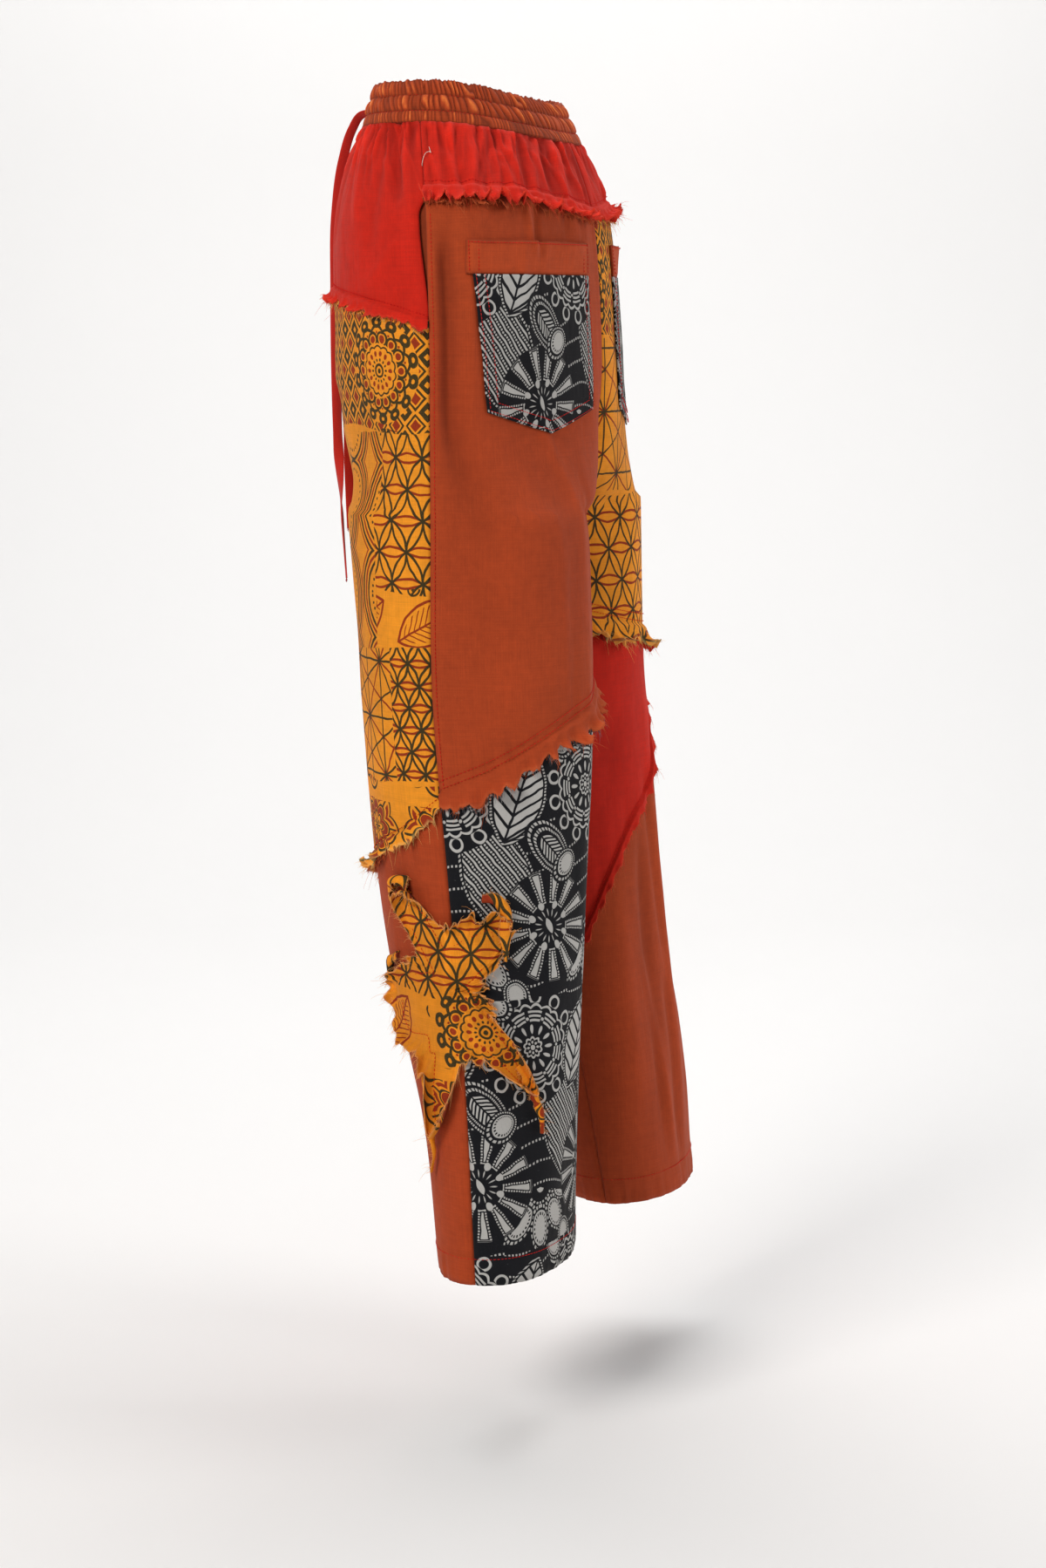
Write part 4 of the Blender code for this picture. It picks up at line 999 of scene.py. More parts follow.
def make_pocket_body(leg):
    """The pocket's body: edges turned under and sewn twice round, with its middle a little full."""
    columns, rows = 68, 44
    across, down = np.linspace(0, 1, columns)[None, :], np.linspace(0, 1, rows)[:, None]
    edges = zip(POCKET_BODY_TOP_EDGES, POCKET_BODY_FOOT_EDGES)
    low, high = (head + (foot - head) * down for head, foot in edges)
    reach = low + (high - low) * across + 0.0008 * uneven_line(710, 0.2)(down) * (1 - 2 * across)
    point = POCKET_POINT * (1 - np.abs(2 * across - 1))
    top = POCKET_BAND_TOP_Z - POCKET_BAND_HEIGHT - 0.0001
    z = top - (POCKET_BODY_HEIGHT - POCKET_POINT + point) * down
    roll = turned_edge(across, np.minimum(1, down + 0.12), 0.15, 0.12)
    uneven = 1 + 0.6 * uneven_line(711, 0.3)(across + down)
    full = 0.0011 * np.sin(math.pi * across) * np.sin(math.pi * np.clip(down, 0, 1)) * uneven
    near_row = np.minimum(np.minimum(across, 1 - across) * 0.15, (1 - down) * 0.12)
    lift = POCKET_LIFT - 0.0006 + 0.0007 * roll + full
    for row_at in (0.002, SEW_IN_AGAIN):
        lift = lift - 0.00035 * bell(near_row - row_at, 0.0009)
    piece = Sewn(f"back_pocket_{leg}_cloth")
    leg_wall(piece, leg, reach, z, lift, 0.0011, tone=0.5 + 0 * z)
    t = np.linspace(0, 1, 160)
    height, sewn_lift = POCKET_BODY_HEIGHT - POCKET_POINT, POCKET_LIFT + 0.0004
    foot_low, foot_high = POCKET_BODY_FOOT_EDGES
    for k, off in enumerate((0.002, SEW_IN_AGAIN)):
        for side in (0, 1):
            head, foot = POCKET_BODY_TOP_EDGES[side], POCKET_BODY_FOOT_EDGES[side]
            inward = off if side == 0 else -off
            fall = t * (height - off * 0.8)
            beside = head + (foot - head) * fall / height + inward
            leg_stitches(piece, leg, beside, top - fall, sewn_lift, seed=20 + 2 * k + side)
            start = foot + inward
            reach_line = start + ((foot_low + foot_high) / 2 - start) * t
            share = np.abs(reach_line - foot_low) / (foot_high - foot_low)
            low_z = top - height - POCKET_POINT * (1 - np.abs(2 * share - 1)) + off
            leg_stitches(piece, leg, reach_line, low_z, sewn_lift, seed=30 + 2 * k + side)
    return piece


def make_side_bag(leg):
    """A plain flat bag inside the slit, narrower towards its foot."""
    across, down = np.linspace(0, 1, 34)[None, :], np.linspace(0, 1, 60)[:, None]
    narrow = 1 - 0.35 * smooth((down - 0.6) / 0.4)
    reach = (BAG_REACH[0] + (BAG_REACH[1] - BAG_REACH[0]) * across) * narrow
    z = BAG_TOP_Z + (BAG_BOTTOM_Z - BAG_TOP_Z) * down + 0 * across
    lift = BAG_LIFT + 0.0003 * np.sin(across * 9) * np.sin(down * 14) - 0.0004
    piece = Sewn(f"side_pocket_bag_{leg}_cloth")
    # painted shade inside the slit: the bag is painted dark
    leg_wall(piece, leg, reach, z, lift, 0.0009, tone=-0.1)
    return piece


def star_radius(turn):
    degrees, radii = np.array(STAR_ROWS, float).T
    degrees = np.concatenate([degrees[-3:] - 360, degrees, degrees[:4] + 360])
    radii = np.concatenate([radii[-3:], radii, radii[:4]])
    return ease_through(degrees, radii, np.mod(turn, 360))


STAR_STRIPS = (  # width, then reach, height and lift along torn strips that hang from the arms
    (
        *(0.011, (0.026, -0.633, 0.003), (0.036, -0.634, 0.006), (0.042, -0.643, 0.007)),
        *((0.042, -0.658, 0.006), (0.04, -0.682, 0.005)),
    ),
    (
        *(0.012, (-0.036, -0.632, 0.003), (-0.045, -0.621, 0.006), (-0.053, -0.623, 0.007)),
        *((-0.057, -0.634, 0.006), (-0.054, -0.65, 0.005)),
    ),
    (
        *(0.009, (-0.04, -0.772, 0.003), (-0.04, -0.8, 0.005), (-0.035, -0.822, 0.006)),
        *((-0.032, -0.838, 0.005), (-0.038, -0.856, 0.005)),
    ),
    (
        *(0.008, (0.044, -0.766, 0.003), (0.052, -0.782, 0.005), (0.057, -0.797, 0.005)),
        *((0.06, -0.812, 0.005), (0.061, -0.823, 0.004)),
    ),
    (
        *(0.008, (-0.062, -0.684, 0.003), (-0.073, -0.692, 0.005), (-0.079, -0.704, 0.005)),
        *((-0.077, -0.718, 0.004), (-0.08, -0.728, 0.004)),
    ),
)
STAR_CURLS = (  # degrees where an arm rolls out further, how wide, and by how much
    *((121, 17, 1.5), (256, 7, 2.0), (302, 9, 1.7), (200, 22, 0.5), (56, 12, 0.9), (243, 6, 0.8)),
)
STAR_THICK = 0.0008


def smooth_route(rows, count):
    """Points evenly along a smooth curve through the rows."""
    rows = np.array(rows)
    knots = lengths_along(rows)
    return ease_through(knots, rows, np.linspace(0, knots[-1], count))


def torn_strip(piece, width, rows, seed):
    """A narrow strip curled across like a gutter and twisted along its route, frayed at both edges."""
    count = 64
    t = np.linspace(0, 1, count)
    reach, z, lift = smooth_route(rows, count).T
    route = leg_point("left", reach, z, lift)
    run, out = unit(np.gradient(route, axis=0)), leg_normal("left", reach, z)
    side = unit(np.cross(out, run))
    twist = 0.9 * uneven_line(seed, 0.3)(t) + 2.2 * (t - 0.2) * (1 if seed % 2 else -1)
    across = side * np.cos(twist)[:, None] + out * np.sin(twist)[:, None]
    rise = out * np.cos(twist)[:, None] - side * np.sin(twist)[:, None]
    half = width / 2 * (1 - 0.5 * t**3) * (1 + 0.22 * uneven_line(seed + 9, 0.07)(t))
    s = np.linspace(-1, 1, 9)[:, None]
    bend = (1.25 + 0.5 * uneven_line(seed + 19, 0.12)(t)) * s
    outer = route + (np.sin(bend) * half)[..., None] * across
    outer = outer + ((np.cos(bend) - 0.6) * half)[..., None] * rise
    normal = unit(np.sin(bend)[..., None] * across + np.cos(bend)[..., None] * rise)
    lay = np.stack(np.broadcast_arrays(reach + s * half, z), axis=-1)
    # painted shading across each strip: lighter along its middle, darker towards its curled edges
    tone, edge = 0.35 + 0.35 * (1 - s * s), 0.5 * np.abs(s) ** 6 + 0 * t
    piece.wall(outer, outer - normal * STAR_THICK, lay, tone, edge)
    fray(piece, outer, lay, 0.5, seed, spacing=0.0008)
    fray(piece, outer[::-1], lay[::-1], 0.5, seed + 3, spacing=0.0008)
    return float(width * lengths_along(route)[-1])


def star_rim(turn):
    """The star's jagged radius and how far each turn's rim rolls outward, by degrees."""
    around = turn / 360
    jag = 0.0046 * uneven_line(800, 0.012)(around) + 0.0034 * uneven_line(801, 0.0062)(around)
    radius = star_radius(turn) + jag + 0.0007 * uneven_line(803, 0.0024)(around)
    arm = smooth((radius - 0.06) / 0.04) * (0.75 + 0.5 * uneven_line(802, 0.05)(around))
    curl = 0.45 + 0.9 * arm + 0.95 * uneven_line(804, 0.014)(around)
    for centre, width, more in STAR_CURLS:
        curl = curl + more * bell((turn - centre + 180) % 360 - 180, width)
    return radius, np.clip(curl, 0.0, 2.9)


def make_star():
    """Rings out from the centre: each turn's rim leaves the leg and rolls outward by its own curl."""
    count, rings, steps = 460, 30, 60
    turn = np.arange(count) * 360 / count
    radius, curl = star_rim(turn)
    zone = np.clip(0.01 + 0.12 * radius, 0.01, 0.02)
    k = np.arange(1, rings + 1)[:, None] / rings
    inner_k = np.clip(k / 0.55, 0, 1)
    outer_k = np.clip((k - 0.55) / 0.45, 0, 1)
    flat_out = (radius - zone)[None, :] * inner_k
    angle = curl[None, :] * np.linspace(0, 1, steps + 1)[1:, None] ** 1.7
    still = np.zeros((1, count))
    run = np.concatenate([still, np.cumsum(np.cos(angle), axis=0)]) / steps
    rise = np.concatenate([still, np.cumsum(np.sin(angle), axis=0)]) / steps
    index = (outer_k * steps).round().astype(int).ravel()
    out_r = flat_out + run[index] * zone[None, :]
    high = rise[index] * zone[None, :] * 0.85
    radians = np.radians(turn)[None, :]
    waver = 0.0006 * np.sin(3 * radians + 9 * k) + 0.0005 * np.sin(7 * radians - 14 * k)
    bumps = 0.0012 * smooth(k / 0.25) * (1 - outer_k) * (0.6 + 0.6 * np.sin(5 * radians + 1.0 + 6 * k))
    reach = STAR_CENTRE[0] + out_r * np.cos(radians)
    z = STAR_CENTRE[1] + out_r * np.sin(radians)
    leaning = uneven_line(806, 0.013)(reach * 0.8 + z * 0.5) + uneven_line(807, 0.017)(reach * 0.9 - z * 0.6)
    ridge = 0.0012 * bell(reach + 0.004 + 0.003 * np.sin(60 * z), 0.003)
    crumple = (0.0012 * (0.6 - np.clip(np.abs(leaning), 0, 0.6)) + ridge) * smooth(k / 0.2)
    lift = STAR_LIFT - 0.0004 + np.maximum(waver + bumps, 0) + crumple + high + 0.0004 * outer_k
    outer = leg_point("left", reach, z, lift)
    across = np.roll(outer, -1, axis=1) - np.roll(outer, 1, axis=1)
    normals = unit(np.cross(np.gradient(outer, axis=0), across))
    facing = leg_normal("left", reach, z)
    if np.einsum("ijk,ijk->", normals[:16], facing[:16]) < 0:
        normals = -normals
    lay_r = flat_out + outer_k * zone[None, :]
    lay = np.stack([STAR_CENTRE[0] + lay_r * np.cos(radians), STAR_CENTRE[1] + lay_r * np.sin(radians)], -1)
    piece = Sewn("star_patch_cloth")
    edge = 0.6 * smooth((outer_k - 0.8) / 0.2) + 0 * radians
    # painted shading: the star is painted darker overall and lighter on the crests of its crumples
    tone = 0.3 + np.clip(crumple / 0.0024, 0, 0.4) + 0 * edge
    piece.wall(outer, outer - normals * STAR_THICK, lay, tone, edge, ring=True)
    spread = np.cross(outer[1:] - outer[:-1], np.roll(outer, -1, axis=1)[:-1] - outer[:-1])
    spread = float(np.linalg.norm(spread, axis=2).sum())
    spread += sum(torn_strip(piece, width, rows, 820 + n) for n, (width, *rows) in enumerate(STAR_STRIPS))
    piece.sheet = (0.19, 0.25, spread)
    # the hole left in the middle is closed by two fans, from its own points to the wall's first rows
    half = rings * count
    centre, low = np.array(STAR_CENTRE)[:, None]
    middle = leg_point("left", centre, low, np.array([STAR_LIFT]))
    base = piece.count
    back_middle = middle - leg_normal("left", centre, low) * STAR_THICK
    piece.put(np.concatenate([middle, back_middle]), np.array(STAR_CENTRE), 0.5, 0.0)
    first = np.arange(count)
    fan = np.stack([np.full(count, base), first, np.roll(first, -1)], axis=-1)
    back = np.stack([np.full(count, base + 1), np.roll(first, -1) + half, first + half], axis=-1)
    if np.cross(outer[0, 0] - middle[0], outer[0, 1] - middle[0]) @ facing[0, 0] < 0:
        fan, back = fan[:, ::-1], back[:, ::-1]
    piece.triangles += [(fan, 0, True), (back, 0, True)]
    fray(piece, outer, lay, tone, 60, spacing=0.0009, longest=1.25)
    inset = np.linspace(0, 360, 800)
    sewn, radians = np.maximum(star_radius(inset) - 0.021, 0.012), np.radians(inset)
    reach, z = STAR_CENTRE[0] + sewn * np.cos(radians), STAR_CENTRE[1] + sewn * np.sin(radians)
    leg_stitches(piece, "left", reach, z, STAR_LIFT + 0.0004, step=0.0034, seed=61)
    return piece


def make_tie(name):
    """A flat woven tie: a rounded oblong carried along its route and turned by a slow twist."""
    count, sides = 220, 20
    route = smooth_route(TIE_ROUTES[name], count)
    t = np.linspace(0, 1, count)
    left = name.endswith("left")
    run = unit(np.gradient(route, axis=0))
    flat = np.array([1.0, 0.0, 0.0]) if left else np.array([1.0, 0.12, 0.0])
    side = unit(flat - run * (run @ flat)[:, None])
    front = np.cross(run, side)
    if left:
        twist = 0.55 + 0.5 * np.sin(4 * t) + 2.6 * smooth((t - 0.68) / 0.2)
    else:
        twist = -0.4 - 0.6 * np.sin(5 * t) - 2.2 * smooth((t - 0.5) / 0.22)
    width = side * np.cos(twist)[:, None] + front * np.sin(twist)[:, None]
    thick = front * np.cos(twist)[:, None] - side * np.sin(twist)[:, None]
    a = 2 * math.pi * np.arange(sides) / sides
    oval_w = np.sign(np.cos(a)) * np.abs(np.cos(a)) ** 0.45
    oval_t = np.sign(np.sin(a)) * np.abs(np.sin(a)) ** 0.75
    pinch = 1 - 0.1 * bell(t - 0.78, 0.03)[:, None]
    cup = 0.0006 * oval_w**2
    half_w = (TIE_WIDTH / 2 - 0.0002) * oval_w * pinch
    half_t = TIE_THICK / 2 * oval_t + cup
    rings = route[:, None] + width[:, None] * half_w[..., None] + thick[:, None] * half_t[..., None]
    grid = np.arange(count * sides).reshape(count, sides)
    grid = np.concatenate([grid, grid[:, :1]], axis=1)
    quads = grid_faces(grid)[:, [0, 3, 2, 1]]
    middle = np.concatenate([rings[0].mean(0)[None], rings[-1].mean(0)[None]])
    points = np.concatenate([rings.reshape(-1, 3), middle])
    last = count * sides
    fans = [np.stack([np.full(sides, last), grid[0, 1:], grid[0, :-1]], axis=-1)]
    fans += [np.stack([np.full(sides, last + 1), grid[-1, :-1], grid[-1, 1:]], axis=-1)]
    length = lengths_along(route)
    lay = np.stack(np.broadcast_arrays(oval_w[None, :] * TIE_WIDTH / 2, length[:, None]), axis=-1)
    lay = np.concatenate([lay.reshape(-1, 2), [[0, 0], [0, length[-1]]]])
    facing = np.cross(points[quads[:, 2]] - points[quads[:, 0]], points[quads[:, 3]] - points[quads[:, 1]])
    away = points[quads].mean(axis=1) - route[np.minimum(quads[:, 0] // sides, count - 1)]
    fans = np.concatenate(fans)
    if np.einsum("ij,ij->", facing, away) < 0:
        quads, fans = quads[:, ::-1], fans[:, ::-1]
    piece = Sewn(f"{name}_tie")
    piece.put(points, lay, 0.5, 0.0, quads, fans)
    rng = np.random.default_rng(70 + left)
    many = 46
    spot = rng.uniform(-1, 1, many)
    root = route[-1] + width[-1] * (spot * (TIE_WIDTH / 2 - 0.0004))[:, None] - run[-1] * 0.001
    size = rng.uniform(0.0015, 0.0045, many)[:, None, None]
    s = np.linspace(0, 1, 5)[None, :, None]
    aside = width[-1] * rng.normal(0, 0.3, (many, 1)) + thick[-1] * rng.normal(0, 0.15, (many, 1))
    routes = root[:, None] + size * (run[-1] * s + aside[:, None] * s**1.5)
    piece.strands(routes, 0.00012, np.array([0.0, length[-1]]), 0.6, 0.8)
    return piece, float(length[-1])


# ---------- finishes: formulas of nodes ----------
class Value:
    """A number worked out by nodes, so that a pattern's formula reads as it is written."""

    def __init__(self, tree, socket):
        self.tree, self.socket = tree, socket

    def work(self, operation, *others, clamp=False):
        node = self.tree.nodes.new("ShaderNodeMath")
        node.operation, node.use_clamp = operation, clamp
        for entry, value in zip(node.inputs, (self, *others)):
            if isinstance(value, Value):
                self.tree.links.new(value.socket, entry)
            else:
                entry.default_value = value
        return Value(self.tree, node.outputs[0])

    def __add__(self, other):
        return self.work("ADD", other)

    def __sub__(self, other):
        return self.work("SUBTRACT", other)

    def __mul__(self, other):
        return self.work("MULTIPLY", other)

    def __truediv__(self, other):
        return self.work("DIVIDE", other)

    def __rsub__(self, other):
        return self.work("MULTIPLY", -1.0).work("ADD", other)

    __radd__, __rmul__ = __add__, __mul__

    def least(self, other):
        return self.work("MINIMUM", other)

    def most(self, other):
        return self.work("MAXIMUM", other)

    def size(self):
        return self.work("ABSOLUTE")

    def fold(self, period):
        """Distance to the nearest whole number of double periods: a zigzag from 0 to the period."""
        return self.work("PINGPONG", period)

    def ramp(self, low, high):
        """An even ease from 0 at low to 1 at high."""
        node = self.tree.nodes.new("ShaderNodeMapRange")
        node.interpolation_type, node.clamp = "SMOOTHSTEP", True
        self.tree.links.new(self.socket, node.inputs["Value"])
        start, end = (0, 1) if low < high else (1, 0)
        node.inputs["From Min"].default_value = min(low, high)
        node.inputs["From Max"].default_value = max(low, high)
        node.inputs["To Min"].default_value, node.inputs["To Max"].default_value = start, end
        return Value(self.tree, node.outputs["Result"])

    def ink(self, width=0.0, soft=0.00035):
        """One where this distance is under the half width, with a soft rim."""
        return self.work("MULTIPLY_ADD", -1.0 / soft, width / soft + 0.5, clamp=True)


class Pattern:
    """The nodes of one finish."""

    def __init__(self, name):
        self.material = bpy.data.materials.new(name)
        self.material.use_nodes = True
        self.tree = self.material.node_tree
        self.tree.nodes.clear()

    def node(self, kind, **settings):
        node = self.tree.nodes.new(kind)
        for key, value in settings.items():
            setattr(node, key, value)
        return node

    def link(self, source, target):
        self.tree.links.new(source.socket if isinstance(source, Value) else source, target)

    def vector(self, x, y):
        node = self.node("ShaderNodeCombineXYZ")
        for entry, value in zip(node.inputs, (x, y)):
            if isinstance(value, Value):
                self.link(value, entry)
            else:
                entry.default_value = value
        return node.outputs[0]

    def lay(self):
        """Flat coordinates of the cloth in metres."""
        source = self.node("ShaderNodeUVMap", uv_map="lay")
        parts = self.node("ShaderNodeSeparateXYZ")
        self.link(source.outputs[0], parts.inputs[0])
        return Value(self.tree, parts.outputs[0]), Value(self.tree, parts.outputs[1])

    def attribute(self, name):
        return Value(self.tree, self.node("ShaderNodeAttribute", attribute_name=name).outputs["Fac"])

    def noise(self, vector, scale, detail=2.0, roughness=0.55, distortion=0.0):
        node = self.node("ShaderNodeTexNoise", noise_dimensions="3D")
        self.link(vector, node.inputs["Vector"])
        sizes = {"Scale": scale, "Detail": detail, "Roughness": roughness, "Distortion": distortion}
        for label, value in sizes.items():
            node.inputs[label].default_value = value
        return Value(self.tree, node.outputs[0])

    def distance(self, vector, point):
        node = self.node("ShaderNodeVectorMath", operation="DISTANCE")
        self.link(vector, node.inputs[0])
        node.inputs[1].default_value = (*point, 0.0)
        return Value(self.tree, node.outputs["Value"])

    def dot(self, vector, direction):
        node = self.node("ShaderNodeVectorMath", operation="DOT_PRODUCT")
        self.link(vector, node.inputs[0])
        node.inputs[1].default_value = (*direction, 0.0)
        return Value(self.tree, node.outputs["Value"])

    def mix(self, share, first, second):
        node = self.node("ShaderNodeMix", data_type="RGBA", blend_type="MIX", clamp_factor=True)
        self.link(share, node.inputs[0])
        for entry, value in ((node.inputs[6], first), (node.inputs[7], second)):
            if isinstance(value, tuple):
                entry.default_value = (*value, 1.0)
            else:
                self.link(value, entry)
        return node.outputs[2]

    def times(self, colour, amount):
        """A colour made darker or lighter by a number."""
        node = self.node("ShaderNodeVectorMath", operation="SCALE")
        self.link(colour, node.inputs[0])
        self.link(amount, node.inputs["Scale"])
        return node.outputs[0]

    def polar(self, x, y):
        return (x * x + y * y).work("SQRT"), y.work("ARCTAN2", x)

    def lens(self, x, y, apart, reach):
        """Distance out of the pointed oval where two circles cross, with centres apart from the middle."""
        place = self.vector(x, y)
        first, second = (self.distance(place, (side * apart[0], side * apart[1])) for side in (-1, 1))
        return first.most(second) - reach

    def surface(self, colour, roughness, sockets, height=None, bump=(0.0, 0.0)):
        """The finish's shader: colour, roughness, sockets with one value all over, and raised height."""
        shader = self.node("ShaderNodeBsdfPrincipled")
        self.link(colour, shader.inputs["Base Color"])
        if isinstance(roughness, Value):
            self.link(roughness, shader.inputs["Roughness"])
        else:
            shader.inputs["Roughness"].default_value = roughness
        for label, value in sockets.items():
            shader.inputs[label].default_value = value
        if height is not None:
            raised = self.node("ShaderNodeBump")
            raised.inputs["Strength"].default_value, raised.inputs["Distance"].default_value = bump
            self.link(height, raised.inputs["Height"])
            self.link(raised.outputs[0], shader.inputs["Normal"])
        out = self.node("ShaderNodeOutputMaterial")
        self.link(shader.outputs[0], out.inputs[0])
        return self.material


def turned(x, y, turn):
    """Coordinates turned about their own middle."""
    if not turn:
        return x, y
    c, s = math.cos(turn), math.sin(turn)
    return x * c + y * s, y * c - x * s


def either(*shapes):
    """Ink wherever any of these has ink."""
    whole = None
    for shape in shapes:
        whole = shape if whole is None else whole.most(shape)
    return whole


def linear(rgb):
    """Screen colour to linear light."""
    shares = (v / 255 for v in rgb)
    return tuple(c / 12.92 if c <= 0.04045 else ((c + 0.055) / 1.055) ** 2.4 for c in shares)


def shades(colour, low, high):
    """A darker and a lighter shade of a colour."""
    return tuple(c * low for c in colour), tuple(min(1, c * high) for c in colour)


# ---------- printed ornament: every formula gives ink from 0 to 1 ----------
def petal_circles(p, u, v, a, width):
    """Circles of radius a about a triangular lattice of spacing a, folded into a corner of its cell.

    Two of the four arcs that cross the corner are dark, and two are red.
    """
    tall = a * math.sqrt(3)
    q = p.vector(u.fold(a / 2), v.fold(tall / 2))

    def arc(centre):
        return (p.distance(q, centre) - a).size()

    first = arc((a, 0)).least(arc((-a / 2, tall / 2)))
    second = arc((0, tall)).least(arc((a / 2, -tall / 2)))
    return first.ink(width), second.ink(width)


def star_lines(p, u, v, a, width):
    """Six families of straight lines, thirty degrees apart, that cross at a triangular lattice's points."""
    q = p.vector(u, v)

    def lines(k):
        turn = math.radians(30 * k)
        space = a / 2 if k % 2 == 0 else a * math.sqrt(3) / 2
        return p.dot(q, (math.cos(turn), math.sin(turn))).fold(space)

    dark = lines(0).least(lines(1)).least(lines(3)).least(lines(4))
    return dark.ink(width), lines(2).least(lines(5)).ink(width)


def oval_ring(r, t, folds, radius, half_length, half_width, start=0.0):
    """A ring of ovals: the turn folded, and the distance from each one's middle in its half sizes."""
    f = (t + start).fold(math.pi / folds) if start else t.fold(math.pi / folds)
    across = f * radius / half_width
    out = (r - radius) / half_length
    return ((across * across + out * out).work("SQRT") - 1.0) * min(half_length, half_width)


def scalloped(r, t, lobes, radius, depth):
    """Distance from an outline of round lobes: radius plus depth times the sine's height."""
    lobe = (t * (lobes / 2)).work("SINE").size()
    return (r - lobe * depth - radius).size()


def mandala(p, x, y):
    """Rings about one centre: dots, drops, scallops and two rows of petals with red hearts."""
    r, t = p.polar(x, y)
    petal = oval_ring(r, t, 14, 0.0248, 0.0052, 0.005)
    dark = either(
        r.ink(0.0019),
        (r - 0.0046).size().ink(0.001),
        oval_ring(r, t, 14, 0.0082, 0.0013, 0.0009).ink(),
        scalloped(r, t, 14, 0.0176, 0.0018).ink(0.0008),
        petal.size().ink(0.001) * (0.0215 - r).ink(),
        scalloped(r, t, 14, 0.031, 0.0036).ink(0.0014),
        oval_ring(r, t, 14, 0.0372, 0.003, 0.004, math.pi / 14).size().ink(0.0015),
    )
    drops, dots = oval_ring(r, t, 14, 0.0132, 0.0022, 0.0016), oval_ring(r, t, 28, 0.0296, 0.001, 0.001)
    red = either(drops.ink(), (petal + 0.0022).ink(), dots.ink())
    return dark, red, (r - 0.0412).ink(0.0, 0.0006)


def diamonds(u, v):
    """Nested diamonds on a square lattice: red hearts, dark outlines, and dark lobes between them."""
    s = u.fold(0.0105) + v.fold(0.0105)
    dark = ((s - 0.0084).size() - 0.0013).ink().most(((s - 0.0158).size() - 0.0026).ink())
    return dark, (s - 0.005).ink()


def sweeping_arcs(p, x, y):
    """Bundles of arcs from two mirrored centres, dark and red by turns, with a row of dots beside each."""
    darks, reds = [], []
    for side in (-1.0, 1.0):
        r, t = p.polar(x - side * 0.046, y)
        inside = (r - 0.047).ink() * (0.0318 - r).ink()
        darks.append((r - 0.033).fold(0.0045).ink(0.0013) * inside)
        reds.append((r - 0.0375).fold(0.0045).ink(0.0011) * inside)
        dots = p.vector((t * 0.027).fold(0.0026), r - 0.0265)
        darks.append(p.distance(dots, (0.0, 0.0)).ink(0.0012))
    return either(*darks), either(*reds)


def leaf_spray(p, x, y, width):
    """A long pointed leaf: two arcs that meet at its tips, a middle vein, and side veins that lean."""
    inside = p.lens(x, y, (0.0, 0.024), 0.04)
    rim = inside.size().ink(width * 1.3)
    vein = y.size().ink(width) * inside.ink()
    side = (x - y.size() * 0.9).fold(0.0026).ink(width * 0.8) * (inside + 0.003).ink()
    return either(rim, vein, side), inside.ink()


def lotus(p, x, y):
    """Nested pointed petals opening upward about one centre: dark outlines, red between every other pair."""
    r, t = p.polar(x, y)
    f = (t - math.pi / 2).fold(math.pi / 8)
    edge = r + f * f * 0.05
    outlines = (edge - 0.0125).size().least((edge - 0.0235).size()).least((edge - 0.036).size())
    ribs = (f * r - 0.0012 + r * 0.01).ink() * (0.024 - r).ink() * (r - 0.033).ink()
    dark = either(outlines.ink(0.0012), (edge - 0.0066).ink(), ribs)
    hearts = ((edge - 0.03).size() - 0.0022).ink() * (0.0034 - f * r).ink()
    red = ((edge - 0.018).size() - 0.0034).ink().most(hearts)
    return dark, red, (edge - 0.038).ink()


